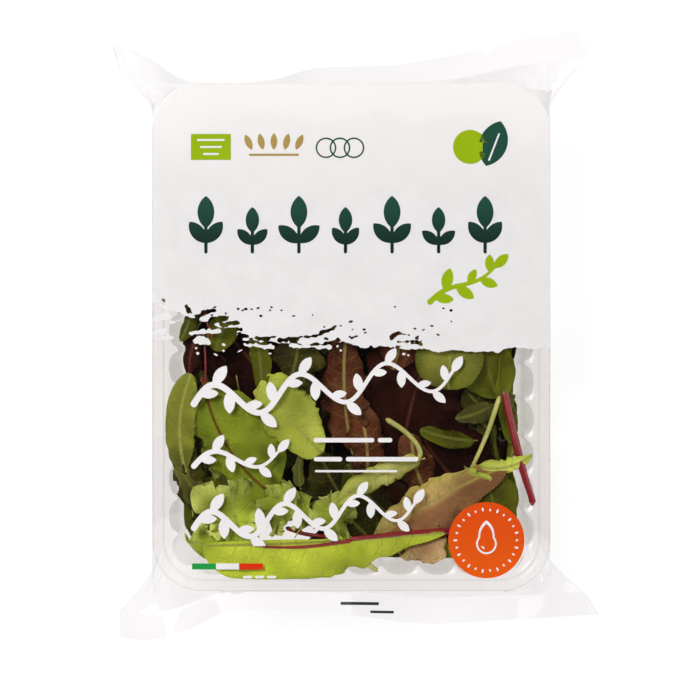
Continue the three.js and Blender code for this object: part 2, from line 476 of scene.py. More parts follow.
FOOT_FOLD = MOUTH.half_width + SIDE_SLANT


def film_girths():
    """Distances round half the tube, closer together at its folds."""
    lap = 2 * EAR - LAP_TO
    half = spread(
        (0, 86, 2.0), (86, 92, 0.5), (92, 139, 1.5), (139, 144, 0.5), (144, 2 * EAR, 2.0),
        (lap - 1, lap + 1, 0.3), (FOOT_FOLD + 5, FOOT_FOLD + 12, 0.7),
    )
    return np.unique(np.concatenate([-half[:-1], half]))


def build_film(material):
    girths = film_girths()
    half = spread(
        (0, 86, 2.4), (86, 112, 1.6), (112, 115, 0.5), (115, WEB_SEAL, 0.9), (WEB_SEAL, WEB_END, 1.0))
    webs = np.unique(np.concatenate([-half, half]))
    web, girth = np.meshgrid(webs, girths, indexing="ij")
    faces = grid_faces(len(webs), len(girths), closed=True)
    uv = np.stack([girth / 100, web / 100], -1).reshape(-1, 2)
    piece = add_piece("film", film_at(girth, web), faces, material, "film", uv=uv)
    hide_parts("bag")


# Print. A mask is a function of places on the film, below 0 where there is ink, and about a distance in mm.
# The white inks and the orange lie deeper under the film's surface than the marks, in mm.
INK_DEPTH = 0.12
MARK_DEPTH = 0.07


def circle(cx, cy, radius):
    return lambda x, y: np.hypot(x - cx, y - cy) - radius


def box(cx, cy, half_w, half_h):
    return lambda x, y: np.maximum(np.abs(x - cx) - half_w, np.abs(y - cy) - half_h)


def bar(x0, y0, x1, y1, radius):
    """A line with round ends."""
    return stroke([(x0, y0), (x1, y1)], [radius, radius])


def px_bar(x0, y0, x1, y1, radius):
    """A bar between two pixels of the photograph."""
    return bar(*px(x0, y0), *px(x1, y1), radius)


def stroke(points, radii):
    """A line through points whose half-width changes along it."""
    points, radii = np.array(points, float), np.array(radii, float)

    def mask(x, y):
        nearest = np.full(np.shape(x), 1e9)
        for a, b, ra, rb in zip(points[:-1], points[1:], radii[:-1], radii[1:]):
            span = b - a
            t = np.clip(((x - a[0]) * span[0] + (y - a[1]) * span[1]) / max(span @ span, 1e-9), 0, 1)
            off_x, off_y = x - a[0] - t * span[0], y - a[1] - t * span[1]
            nearest = np.minimum(nearest, np.hypot(off_x, off_y) - lerp(ra, rb, t))
        return nearest

    return mask


def petal(x0, y0, length, width, angle):
    """A pointed leaf shape from its base, at an angle in degrees from +X: where two circles overlap."""
    c, s = math.cos(math.radians(angle)), math.sin(math.radians(angle))
    radius = (length ** 2 / 4 + width ** 2 / 4) / width
    shift = radius - width / 2

    def mask(x, y):
        along = (x - x0) * c + (y - y0) * s - length / 2
        across = (y - y0) * c - (x - x0) * s
        return np.maximum(np.hypot(along, across - shift), np.hypot(along, across + shift)) - radius

    return mask


def joined(*masks):
    return lambda x, y: np.minimum.reduce([mask(x, y) for mask in masks])


def cut(mask, *holes):
    return lambda x, y: np.maximum(mask(x, y), -joined(*holes)(x, y))


def clip_triangles(corners, values):
    """The parts of triangles where the value, straight between their corners, is below 0."""
    inside = values < 0
    count = inside.sum(1)
    kept = [corners[count == 3]]
    for lone, number in ((True, 1), (False, 2)):
        pick = count == number
        first = np.argmax(inside[pick] == lone, 1)
        order = (first[:, None] + np.arange(3)) % 3
        c = np.take_along_axis(corners[pick], order[..., None], 1)
        v = np.take_along_axis(values[pick], order, 1)
        ab = c[:, 0] + (c[:, 1] - c[:, 0]) * (v[:, 0] / (v[:, 0] - v[:, 1]))[:, None]
        ac = c[:, 0] + (c[:, 2] - c[:, 0]) * (v[:, 0] / (v[:, 0] - v[:, 2]))[:, None]
        if lone:
            kept.append(np.stack([c[:, 0], ab, ac], 1))
        else:
            kept.append(np.stack([ab, c[:, 1], c[:, 2]], 1))
            kept.append(np.stack([ab, c[:, 2], ac], 1))
    return np.concatenate(kept)


def inked(mask, xs, ys, parts):
    """Triangles that cover a mask: whole cells of a grid inside it, and cells cut in parts along its edge."""
    cx, cy = (xs[:-1] + xs[1:]) / 2, (ys[:-1] + ys[1:]) / 2
    x, y = np.meshgrid(cx, cy, indexing="ij")
    w, h = np.meshgrid(np.diff(xs), np.diff(ys), indexing="ij")
    value, margin = mask(x, y), 0.8 * np.hypot(w, h)
    found = []
    for pick, n in ((value < -margin, 1), (np.abs(value) <= margin, parts)):
        steps = np.linspace(-0.5, 0.5, n + 1)
        gx = x[pick][:, None, None] + w[pick][:, None, None] * steps[:, None] + 0 * steps
        gy = y[pick][:, None, None] + h[pick][:, None, None] * steps + 0 * steps[:, None]
        p = np.stack([gx, gy], -1)
        a, b, c, d = p[:, :-1, :-1], p[:, 1:, :-1], p[:, 1:, 1:], p[:, :-1, 1:]
        corners = np.concatenate([np.stack(t, -2).reshape(-1, 3, 2) for t in ((a, b, c), (a, c, d))])
        values = mask(corners[..., 0], corners[..., 1])
        found.append(corners if n == 1 else clip_triangles(corners, values))
    return np.concatenate(found)


def print_piece(name, layers, material, slot, depth=INK_DEPTH, to_web=web_at):
    """Ink inside the film. Each layer is a mask, its grid lines, and how finely its edge is cut."""
    points, faces, start = [], [], 0
    for mask, lines, parts in layers:
        corners = np.round(inked(mask, *lines, parts).reshape(-1, 2), 3)
        flat, index = np.unique(corners, axis=0, return_inverse=True)
        index = index.reshape(-1, 3)
        whole = (index != np.roll(index, 1, axis=1)).all(1)
        points.append(film_at(flat[:, 0], to_web(flat[:, 0], flat[:, 1]), -depth))
        faces.append(index[whole] + start)
        start += len(flat)
    add_piece(name, np.concatenate(points), np.concatenate(faces), material, slot)


def window(x0, y0, x1, y1, step=2.0):
    """Grid lines over a stretch of the photograph given in pixels."""
    low, high = px(x0, y1), px(x1, y0)
    return spread((low[0], high[0], step)), spread((low[1], high[1], step))


# The white band, with a dry-brushed lower edge. The edge's course is given by pixels of the photograph.
BAND_EDGE = [
    (150, 299), (163, 309), (185, 316), (206, 322), (226, 331), (246, 340), (300, 344), (345, 341),
    (362, 347), (410, 349), (460, 352), (498, 353.5), (504, 348), (552, 348),
]
BAND_TOP = 116.2
# Where the brush left the film bare: streaks from pixel to pixel, each with a half-width in mm.
BARE_STREAKS = [
    (280, 340, 298, 339, 0.9), (296, 338, 322, 335, 0.45), (322, 332, 333, 329, 0.9),
    (330, 344, 338, 340, 0.8), (391, 338, 398, 333, 0.9), (396, 333, 408, 335, 0.5),
    (398, 342, 420, 341, 0.4), (412, 343, 421, 343.5, 0.7), (240, 334, 247, 337, 0.9),
    (257, 338, 268, 339, 0.8), (203, 313, 214, 310, 0.9), (211, 321, 226, 318, 1.2),
    (222, 325, 238, 323, 1.0), (228, 330, 241, 329, 0.8), (186, 306, 190, 312, 0.9),
    (163, 297, 164, 309, 0.5),
]
# Where the brush left ink below the edge, in the same form.
INK_SMEARS = [
    (156, 317, 167, 314, 1.6), (155, 333, 163, 331, 1.5), (158, 339, 171, 337, 0.8),
    (171, 322, 178, 320, 0.8), (190, 333, 219, 331, 0.9), (198, 340, 206, 341, 2.0),
    (246, 345, 273, 347, 0.8), (290, 346, 330, 347, 0.7),
]
# Where specks are scattered: left, right, top and bottom in pixels, and how many.
BARE_SPECKS = [
    (236, 292, 306, 318, 7), (318, 364, 322, 340, 12), (412, 436, 324, 342, 6),
    (200, 250, 306, 322, 8), (300, 480, 306, 330, 5),
]
INK_SPECKS = [(180, 460, 343, 356, 14)]
BARE_AT_TOP = [(190, 520, 86, 100, 8)]


def band_mask(x, web):
    """The white band, in distances round the tube and along the web."""
    y = sharp_film(x, web)[..., 1]
    knots = np.array([px(*p) for p in BAND_EDGE])
    at_seam = (knots[0, 1] + knots[-1, 1]) / 2
    edge = np.interp(x, [-2 * EAR, *knots[:, 0], 2 * EAR], [at_seam, *knots[:, 1], at_seam])
    above = y - edge + 0.8 * noise(x / 2.4, 0, 2) + 0.4 * noise(x / 0.8, 0, 3)
    left = 1 - smoothstep(-45, -18, x)
    brush = (1.0 + 2.6 * left) * (noise(x / 6, y / 1.5, 4) + 0.6 * noise(x / 2.4, y / 0.8, 5))
    beyond = smoothstep(82, 88, np.abs(x))
    brush = brush * (1 - beyond)
    fade = np.exp(-((above - 2.6) / (2.6 + 2.4 * left)) ** 2)
    lower = -(above - np.maximum(brush, 0) * fade * 1.6)
    upper = y - (BAND_TOP + 1.5 * noise(x / 17, 0, 6) + 0.5 * noise(x / 5, 0, 7))
    return np.maximum(np.maximum(lower * 0.6, upper), past_band_end(x, web))


def past_band_end(x, web):
    return web - (WEB_TRAY + 1.5 + 0.8 * noise(x / 13, 0, 9))


def corner_mask(x, web):
    """The band on the top sheet past the tray's round far corners, out to the fold at each side."""
    y = sharp_film(x, web)[..., 1]
    far = y - (BAND_TOP - 5.5 * smoothstep(66, 84, np.abs(x)))
    slope = (web - WEB_TRAY - 2.2 * (np.abs(x) - 74)) / 2.4
    return np.maximum.reduce([far, slope, np.abs(x) - MOUTH.half_width - 0.3, -past_band_end(x, web)])


def rough(mask, size, grain, layer):
    """The same mask with an uneven edge."""
    return lambda x, y: mask(x, y) + size * noise(x / grain, y / grain, layer)


def specks(rng, table, lengths, widths, turn):
    """Seeded petals in each stretch of a table."""
    found = []
    for left, right, top, bottom, count in table:
        for _ in range(count):
            x, y = px(rng.uniform(left, right), rng.uniform(top, bottom))
            found.append(petal(x, y, rng.uniform(*lengths), rng.uniform(*widths), rng.uniform(-turn, turn)))
    return found


def band_flecks():
    """Bare streaks and specks in the band, and inked smears and specks below it."""
    rng = np.random.default_rng(SEED + 2)
    bare = [rough(joined(*[px_bar(*row) for row in BARE_STREAKS]), 0.55, 1.1, 8)]
    inked_specks = [rough(joined(*[px_bar(*row) for row in INK_SMEARS]), 0.7, 1.3, 9)]
    bare += specks(rng, BARE_SPECKS, (0.9, 2.4), (0.7, 1.3), 40)
    inked_specks += specks(rng, INK_SPECKS, (1.0, 3.2), (0.6, 1.6), 30)
    bare += specks(rng, BARE_AT_TOP, (0.8, 2.0), (0.4, 0.8), 20)
    return bare, inked_specks


def vine(x0, y0, x1, y1, swing, waves, leaf, radius):
    """A stem that swings in even waves between two pixels, with a leaf at each bend and crossing."""
    start, end = px(x0, y0), px(x1, y1)
    t = np.linspace(0, 1, 24 * waves + 1)
    run = end - start
    across = unit(np.array([-run[1], run[0]]))
    line = start + t[:, None] * run + (swing * np.sin(2 * math.pi * waves * t))[:, None] * across
    slope = np.gradient(line, axis=0)
    angles = np.degrees(np.arctan2(slope[:, 1], slope[:, 0]))
    masks = [stroke(line, radius * (1 - 0.55 * t))]
    for number, k in enumerate(range(2, len(line) - 1, 4)):
        size = leaf * (1 - 0.3 * t[k]) * (1.0 if number % 3 else 0.8)
        masks.append(petal(*line[k], size, 0.5 * size, angles[k] + (48 if number % 2 else -48)))
    masks.append(petal(*line[-1], 0.8 * leaf, 0.4 * leaf, angles[-1]))
    return joined(*masks)


def seedling(column, row, height, turn):
    """An upright sprout: a stem, a leaf at its top and a pair beside it."""
    x, y = px(column, row)
    stem = bar(x, y, x, y + 0.55 * height, 0.75)
    top = petal(x, y + 0.42 * height, 0.58 * height, 0.3 * height, 90)
    left = petal(x, y + 0.16 * height, 0.48 * height, 0.24 * height, 90 + turn)
    right = petal(x, y + 0.16 * height, 0.48 * height, 0.24 * height, 90 - turn)
    return joined(stem, top, left, right)


DISC_CENTRE = px(486.4, 540.2)
DISC_RADIUS = 17.0
DASHES = 26
DASH_RING = 13.4


def disc_marks():
    """A ring of short dashes and a drop in the middle of the orange disc."""
    cx, cy = DISC_CENTRE
    marks = []
    for k in range(DASHES):
        angle = 2 * math.pi * k / DASHES
        c, s = math.cos(angle), math.sin(angle)
        end = DASH_RING + (0.9 if k % 2 else 0.35)
        marks.append(bar(cx + DASH_RING * c, cy + DASH_RING * s, cx + end * c, cy + end * s, 0.42))
    drop = joined(circle(cx, cy - 1.6, 4.6), petal(cx, cy - 4.6, 13.5, 7.2, 90))
    core = joined(circle(cx, cy - 1.6, 3.8), petal(cx, cy - 3.9, 11.2, 5.6, 90))
    return marks + [cut(drop, core), bar(cx - 1.9, cy - 2.9, cx - 1.1, cy - 3.6, 0.35)]


WHITE_INK = (0.895, 0.89, 0.885)
STRIPE_Y = 566.4
STRIPE_HALF = 1.35
VINE_STEP = 3.0


def fade_to(colour, low_px, high_px):
    """A gradient's end colour, and its range between two rows of the photograph as the material needs it."""
    low, high = (px(0, y)[1] * MM + OFFSET[1] for y in (low_px, high_px))
    return colour, low, high


def print_band():
    """The white band, its patches in the tray's far corners, and the smears below its edge."""
    bare, smears = band_flecks()
    girths = spread(
        (-2 * EAR, 2 * EAR, 4.0), (-92, -86, 0.5), (86, 92, 0.5), (139, 144, 0.7), (-144, -139, 0.7))
    band = cut(band_mask, *bare)
    webs = spread((WEB_TRAY, WEB_SEAL, 1.2))

    def band_on_top(x, y):
        return band_mask(x, web_at(x, y))

    # The white ink turns lighter and warmer towards the far seal: a painted lightening where less shade falls
    # on the band from the leaves under it.
    ink = ink_material("ink_white", WHITE_INK, cover=0.94, deep=fade_to((0.925, 0.915, 0.895), 215, 95))
    print_piece("print_white_band", [
        (band, (girths, spread((-14, 26, 2.0))), 6),
        (band, (girths, spread((26, WEB_TRAY, 4.0), (110, WEB_SEAL, 1.5))), 5),
        (corner_mask, (spread((-90, -73, 1.2)), webs), 3),
        (corner_mask, (spread((73, 90, 1.2)), webs), 3),
        (cut(joined(*smears), band_on_top), window(153, 308, 470, 360), 6),
    ], ink, "print_white", to_web=same_web)


def print_white_fine():
    """Sprigs and rules over the leaves, the stripe's middle, and the marks on the disc."""
    rules = [px_bar(a, y, b, y, r) for a, b, y, r in (
        (316, 372, 440, 1.0), (380, 390, 440, 1.0), (316, 340, 459, 1.0), (348, 416, 459, 1.0),
        (316, 396, 471, 0.5))]
    foot_rule = [px_bar(x, 577, x + 7, 577, 0.55) for x in (244, 256, 268)]
    disc = circle(*DISC_CENTRE, DISC_RADIUS)
    shifted_disc = circle(*(DISC_CENTRE + [0.35, -0.5]), DISC_RADIUS)
    print_piece("print_white_fine", [
        (vine(194, 404, 452, 372, 7.5, 3, 10.5, 1.5), window(188, 340, 476, 428, VINE_STEP), 10),
        (vine(194, 466, 278, 452, 5.0, 1, 9.5, 1.3), window(190, 428, 300, 486, VINE_STEP), 10),
        (vine(194, 528, 414, 504, 6.5, 3, 10.0, 1.4), window(188, 478, 440, 546, VINE_STEP), 10),
        (joined(*rules), window(308, 432, 424, 476), 6),
        (joined(*foot_rule), window(238, 572, 286, 582), 6),
        (box(*px(227.5, STRIPE_Y), 5.2, STRIPE_HALF), window(212, 560, 242, 572), 6),
        (joined(*disc_marks()), window(446, 500, 527, 580), 8),
        (cut(shifted_disc, disc), window(446, 500, 528, 582), 8),
    ], ink_material("ink_white_fine", WHITE_INK), "print_white")


def print_marks():
    """The row of seedlings, the rings, the badge, the plate, the sprig and the grains."""
    sprouts = [seedling(206 + 46.5 * k, 252, 25 - 5 * (k % 2), 38 + 6 * (k % 3)) for k in range(7)]
    badge_leaf = cut(petal(*px(486, 166), 21, 12.5, 72), px_bar(489, 160, 499, 134, 0.4))
    rings = [cut(circle(*px(x, 148), 4.6), circle(*px(x, 148), 3.9)) for x in (326, 340, 354)]
    dark = ink_material("ink_dark_green", linear(10, 42, 32), deep=fade_to(linear(28, 76, 60), 252, 195))
    print_piece("print_dark_green", [
        (joined(*sprouts), window(186, 190, 512, 256, 3.0), 10),
        (badge_leaf, window(478, 112, 520, 172), 8),
        (joined(*rings), window(312, 134, 368, 162), 8),
    ], dark, "print_dark_green", MARK_DEPTH)

    bars = [px_bar(198 + 3 * k, 140 + 7 * k, 224 - 3 * k, 140 + 7 * k, 0.45) for k in range(3)]
    print_piece("print_lime", [
        (cut(box(*px(211, 147), 8.9, 5.8), *bars), window(188, 130, 234, 164), 8),
        (vine(430, 302, 494, 268, 1.5, 1, 11, 1.3), window(420, 248, 520, 312), 8),
        (circle(*px(470, 147), 7.6), window(450, 124, 492, 170), 6),
    ], ink_material("ink_lime", linear(154, 184, 4)), "print_lime", MARK_DEPTH)

    grains = [petal(*px(252 + 11 * k, 150), 7.5, 3.0, 90 - 12 * (k - 2)) for k in range(5)]
    print_piece("print_gold", [
        (joined(*grains, px_bar(250, 155, 298, 155, 0.5)), window(242, 126, 306, 160), 8),
    ], ink_material("ink_gold", linear(176, 150, 84)), "print_gold", MARK_DEPTH)


def print_disc_and_stripe():
    # The orange turns darker and redder towards the disc's far side: a painted shade where leaves, not the
    # bright tray, lie behind the thin ink.
    orange = ink_material("ink_orange", linear(238, 98, 6), deep=fade_to(linear(224, 78, 4), 600, 505))
    disc = cut(circle(*DISC_CENTRE, DISC_RADIUS), *disc_marks())
    print_piece("print_orange", [(disc, window(446, 500, 527, 580), 8)], orange, "print_orange")
    for name, x, left, right, colour, slot in (
        ("green", 204, 190, 218, (30, 160, 70), "print_lime"),
        ("red", 251, 236, 266, (222, 48, 6), "print_red"),
    ):
        part = (box(*px(x, STRIPE_Y), 5.35, STRIPE_HALF), window(left, 560, right, 572), 6)
        print_piece("print_stripe_" + name, [part], ink_material("ink_" + name, linear(*colour)), slot)


def print_seal_marks():
    """Two dark bars on the near seal."""
    marks = joined(box(*px(360, 608), 8.8, 0.7), box(*px(383, 616.5), 5.4, 0.6))
    ink = ink_material("ink_black", linear(52, 62, 62))
    layer = (marks, window(334, 602, 402, 622), 6)
    print_piece("print_seal_marks", [layer], ink, "print_dark_green", MARK_DEPTH)


# The tray. Its rings run round it, each a rounded rectangle: half width, corner radius, height, and its share
# of the flutes' depth. It is longer than wide by the same length at every height.
FLUTE_PITCH = 16.5
FLUTE_DEPTH = 4.0
FLUTE_HALF = 0.44
LONGER = MOUTH.half_length - MOUTH.half_width
TRAY_RINGS = [
    (88.5, 21.6, 46.6, 0), (88.6, 21.7, 48.6, 0), (88.3, 21.4, 49.3, 0), (87.6, 20.8, 49.5, 0),
    (85.4, 19.0, 49.5, 0), (84.6, 18.4, 49.3, 0), (84.1, 18.0, 48.6, 0), (83.6, 17.6, 46.9, 0),
    (83.2, 17.2, 46.4, 0), (82.3, 16.8, 46.2, 0), (77.9, 14.2, 46.1, 0.97), (77.6, 14.0, 45.8, 1),
    (77.4, 13.9, 44.5, 1), (76.9, 13.9, 36, 0.9), (76.4, 13.9, 27, 0.75), (75.9, 13.8, 18, 0.5),
    (75.3, 13.7, 9, 0.22), (74.8, 13.6, 3.4, 0.1), (74.2, 13.4, 1.4, 0.04), (73.4, 13.0, 0.6, 0),
    (72.4, 12.4, 0.45, 0), (68.6, 10, 0.45, 0), (67.4, 9.2, 0.8, 0), (65.8, 8.4, 2.0, 0),
    (64.4, 7.8, 2.3, 0), (40, 6, 2.3, 0), (15, 4, 2.3, 0), (0, 0, 2.3, 0),
]
WALL_TOP_RING = TRAY_RINGS[10]
RING_SIDE, RING_END, RING_CORNER = 170, 130, 64


def ring_course(half_width, corner):
    """Points round a rounded rectangle, with their outward normals. All rings have as many points."""
    points, normals = [], []
    straight = np.array([half_width - corner, half_width + LONGER - corner])
    turns = straight * [(1, 1), (-1, 1), (-1, -1), (1, -1)]
    for k, centre in enumerate(turns):
        angle = np.radians(90 * k + 90 * np.arange(RING_CORNER) / RING_CORNER)
        normal = np.stack([np.cos(angle), np.sin(angle)], -1)
        points.append(centre + corner * normal)
        normals.append(normal)
        count = RING_SIDE if k % 2 else RING_END
        out = np.array([math.cos(math.radians(90 * k + 90)), math.sin(math.radians(90 * k + 90))])
        share = (np.arange(count) / count)[:, None]
        points.append(lerp(centre, turns[(k + 1) % 4], share) + corner * out)
        normals.append(np.repeat(out[None], count, 0))
    return np.concatenate(points), np.concatenate(normals)


def fluting():
    """The course at the top of the wall, its normals, and how far the flutes bulge out at each point."""
    course, normals = ring_course(*WALL_TOP_RING[:2])
    steps = np.linalg.norm(np.diff(course, axis=0, append=course[:1]), axis=1)
    walked = np.cumsum(steps) - steps
    flutes = round(steps.sum() / FLUTE_PITCH)
    phase = (walked / steps.sum() * flutes) % 1
    return course, normals, FLUTE_DEPTH * np.sqrt(np.clip(1 - ((phase - 0.5) / FLUTE_HALF) ** 2, 0, 1))


def build_tray(material):
    course, normals, bulge = fluting()
    rows = []
    for half_width, corner, z, fluted in TRAY_RINGS:
        ring = ring_course(half_width, corner)[0] + normals * (fluted * bulge)[:, None]
        rows.append(np.column_stack([ring, np.full(len(ring), z)]))
    faces = grid_faces(len(rows), len(course), closed=True)
    add_piece("tray", np.concatenate(rows), faces, material, "tray")


# Leaves. For each kind: the piece, the stem's colour and the rib's half-width; two powers that shape the
# outline; the ruffle's height and wave, the teeth's depth and pitch, the lobes' share of the half-width and
# pitch; crinkle, cup and fold; and the colours inside, at the edge and in blotches, read off the photograph.
LEAF_HALF_THICKNESS = 0.2
# A leaf's texture coordinates are millimetres along and across it, over this length.
UV_LENGTH = 50
VEIN_PITCH = 6.5
# Painted shade: leaves low in the heap are darker in their tint, by this share at the bottom, but not by the
# walls.
DEEP_PAINTED_SHADE = 0.42
LeafKind = namedtuple(
    "LeafKind",
    "piece stem rib shape ruffle teeth lobes crinkle cup fold inner outer blotch right",
    defaults=[None],
)
LEAF_KINDS = {
    "beet": LeafKind("leaves_beet", "red", 0.7, (0.62, 0.55), (1.4, 24), (0.25, 7), (0.05, 30),
                     1.3, -1.6, 0.06, (138, 154, 36), (124, 140, 28), (106, 120, 20)),
    "beet_light": LeafKind("leaves_light", "red", 0.6, (1.1, 0.45), (1.3, 30), (0.2, 9), (0.03, 34),
                           1.1, -1.4, 0.05, (204, 218, 68), (196, 210, 60), (182, 198, 48)),
    # The round kind's pale middle and dark rim are partly its own colour and partly painted: a painted
    # highlight in the cupped middle, painted shade towards the rim.
    "round": LeafKind("leaves_round", "green", 0.4, (0.5, 0.42), (0.7, 26), (0.1, 9), (0.02, 30),
                      0.4, 1.6, 0.03, (158, 158, 62), (84, 90, 10), (116, 120, 28)),
    "spinach": LeafKind("leaves_spinach", "green", 0.5, (0.55, 0.55), (1.2, 20), (0.2, 8), (0.04, 26),
                        1.2, -1.3, 0.08, (88, 92, 6), (108, 114, 14), (58, 58, 2)),
    "dark": LeafKind("leaves_spinach", "green", 0.4, (0.6, 0.6), (1.3, 14), (0.9, 5), (0.12, 14),
                     1.1, -1.0, 0.08, (62, 56, 4), (80, 80, 12), (36, 30, 1)),
    "grey": LeafKind("leaves_spinach", "green", 0.4, (0.5, 0.75), (0.8, 14), (0.8, 6), (0.12, 16),
                     0.6, -0.8, 0.12, (88, 90, 34), (112, 116, 54), (62, 60, 18)),
    "serrate": LeafKind("leaves_light", "green", 0.6, (0.42, 0.5), (1.4, 15), (1.5, 4.6), (0.07, 18),
                        1.2, -1.2, 0.12, (206, 214, 94), (194, 206, 76), (164, 176, 48)),
    # The lobed kind's dark colours are partly the leaf's own and partly a painted shade for the deep gaps
    # between leaves where it lies.
    "lobed": LeafKind("leaves_spinach", "green", 0.35, (0.6, 0.35), (1.6, 14), (0.6, 6), (0.22, 13),
                      1.2, -1.2, 0.06, (86, 80, 20), (72, 62, 12), (44, 32, 4)),
    # The frill kind's pale edge is partly its own paler colour and partly a painted highlight on the ruffles.
    "frill": LeafKind("leaves_frilly_green", "green", 0.35, (0.8, 0.18), (4.2, 9), (2.2, 3.4), (0.12, 13),
                      2.3, -0.5, 0.03, (184, 202, 60), (240, 248, 134), (120, 138, 28)),
    "red_frill": LeafKind("leaves_frilly_red", "green", 0.6, (0.75, 0.25), (3.4, 11), (1.1, 4.6), (0.1, 16),
                          1.6, -0.5, 0.03, (62, 30, 10), (38, 10, 4), (78, 44, 16)),
    "maroon": LeafKind("leaves_frilly_red", "red", 0.5, (0.55, 0.45), (2.0, 16), (0.4, 6), (0.08, 18),
                       1.5, -1.0, 0.06, (44, 12, 4), (32, 5, 2), (70, 30, 18)),
    "brown": LeafKind("leaves_brown", "green", 0.5, (0.55, 0.45), (1.9, 13), (0.5, 5), (0.14, 14),
                      1.5, -1.0, 0.08, (96, 46, 22), (76, 28, 14), (122, 76, 48)),
    # This one is of another colour to the right of its rib: browner, and also darker there as a painted shade
    # on that side.
    "beige": LeafKind("leaves_brown", "green", 0.7, (0.7, 0.95), (1.3, 20), (0.4, 6), (0.06, 24),
                      2.0, -1.6, 0.14, (196, 164, 100), (182, 168, 84), (136, 92, 48), (132, 84, 54)),
}
LEAF_KINDS["plain"] = LEAF_KINDS["beet"]._replace(
    piece="leaves_round", stem="green", rib=0.3,
    inner=(132, 136, 42), outer=(146, 150, 54), blotch=(92, 94, 24))
LEAF_KINDS["blade"] = LEAF_KINDS["serrate"]._replace(
    inner=(216, 212, 122), outer=(196, 202, 84), blotch=(178, 184, 78))
LEAF_KINDS["beige_frill"] = LEAF_KINDS["red_frill"]._replace(
    piece="leaves_brown", inner=(178, 138, 92), outer=(208, 176, 126), blotch=(146, 102, 64))
STEM_COLOURS = {"red": (140, 22, 30), "green": (180, 180, 96)}
# Places on a leaf are seen from a centre at this share of its length.
LEAF_CENTRE = 0.42


def leaf_outline(kind, length, half_width, rows, columns, sides):
    """A smooth leaf laid flat: its grid's shares, places along and across, and how near the edge each is."""
    u, v = np.meshgrid(np.linspace(0.004, 0.996, rows), np.linspace(-1, 1, columns), indexing="ij")
    a, b = kind.shape
    widest = (a / (a + b)) ** a * (b / (a + b)) ** b
    profile = u ** a * (1 - u) ** b / widest
    share = np.where(v < 0, sides[0], sides[1])
    to_edge = np.minimum(profile * half_width * share * (1 - np.abs(v)), 0.9 * (1 - u) * length)
    edge = np.clip(1 - to_edge / (0.55 * half_width), 0, 1)
    return u, v, u * length, v * profile * half_width * share, edge


def walk_margin(along, across, length, half_width, seed):
    """The direction of each place from the leaf's centre, and how far along the margin that is."""
    centre = LEAF_CENTRE * length
    angle = np.arctan2(across, along - centre)
    return angle, angle * 0.5 * (centre + half_width) + 0.4 * noise(angle * 3, 0, seed)


def leaf_surface(kind, length, half_width, seed, rows, columns, sides):
    """A leaf laid flat, with its margin cut and ruffled: shares, places, height and nearness to the edge."""
    u, v, along, across, edge = leaf_outline(kind, length, half_width, rows, columns, sides)
    angle, walk = walk_margin(along, across, length, half_width, seed)
    tooth_depth, tooth_pitch = kind.teeth
    lobe_depth, lobe_pitch = kind.lobes
    saw = (walk / tooth_pitch + 0.25 * noise(walk / 9, 0, seed + 1)) % 1
    grow = tooth_depth * (np.abs(2 * saw - 1) - 0.5) * edge ** 7
    lobes = np.cos(2 * np.pi * walk / lobe_pitch + 2 * noise(walk / 20, 0, seed + 2))
    grow = grow + lobe_depth * half_width * lobes * edge ** 2
    grow = grow + 0.08 * half_width * noise(walk / 11, 0, seed + 3) * edge ** 2
    along = along + grow * np.cos(angle)
    across = across + grow * np.sin(angle)
    size, wave = kind.ruffle
    phase = 2 * np.pi * walk / wave + 2.2 * noise(walk / wave, 0, seed + 4)
    gather = size * edge ** 2
    height = gather * (0.7 + 0.5 * noise(walk / 15, 0, seed + 5)) * np.sin(phase)
    height = height + 0.4 * size * edge ** 4 * np.sin(2.7 * phase + 1.3)
    shift = 0.5 * gather * np.sin(2 * phase)
    along = along - shift * np.sin(angle)
    across = across + shift * np.cos(angle)
    bumps = noise(along / 8, across / 8, seed + 6) + 0.45 * noise(along / 3.6, across / 3.6, seed + 7)
    aside = np.abs(across) / half_width
    height = height + kind.crinkle * bumps * (0.35 + 0.65 * aside)
    height = height + kind.cup * aside ** 2 + kind.fold * np.abs(across)
    return u, v, along, across, height, edge


def place_leaf(along, across, height, length, base, tip, bend, roll, arch):
    """Carries a flat leaf onto a spine that bends sideways and arches."""
    base, tip = np.array(base, float), np.array(tip, float)
    run = tip - base
    level = unit(np.array([-run[1], run[0], 0.0]))
    middle = (base + tip) / 2 + level * 2 * bend + np.array([0, 0, 2 * arch])
    t = (along / length)[..., None]
    spine = base * (1 - t) ** 2 + middle * 2 * t * (1 - t) + tip * t ** 2
    tangent = unit(2 * (1 - t) * (middle - base) + 2 * t * (tip - middle))
    side = unit(np.stack([-tangent[..., 1], tangent[..., 0], 0 * tangent[..., 0]], -1))
    up = np.cross(tangent, side)
    c, s = math.cos(math.radians(roll)), math.sin(math.radians(roll))
    lean, lift = c * side + s * up, c * up - s * side
    return spine + lean * across[..., None] + lift * height[..., None]


# The room for the heap: half width and half length inside the walls at the base, at the ledge and over it.
ROOM_LOW = (74.0, 98.6)
ROOM_HIGH = (77.0, 101.6)
ROOM_OVER_LEDGE = (84.5, 110.6)
ROOM_CORNER = 14
LEDGE_Z = 45
FLOOR_Z = 3.0
WALL_IN = 0.8
UNDER_FILM = 0.45


def room_at(z):
    """Half width and half length inside the walls at a height up to the ledge."""
    share = np.clip(z / LEDGE_Z, 0, 1)
    return (lerp(low, high, share) for low, high in zip(ROOM_LOW, ROOM_HIGH))


def side_bulges():
    """The flutes along the left, the right and the near wall, each as places and how far they bulge."""
    course, normals, bulge = fluting()
    walls = []
    for axis, sign, along in ((0, -1, 1), (0, 1, 1), (1, -1, 0)):
        pick = normals[:, axis] * sign > 0.999
        order = np.argsort(course[pick][:, along])
        walls.append((course[pick][order, along], bulge[pick][order]))
    return walls


LEFT_FLUTES, RIGHT_FLUTES, NEAR_FLUTES = side_bulges()


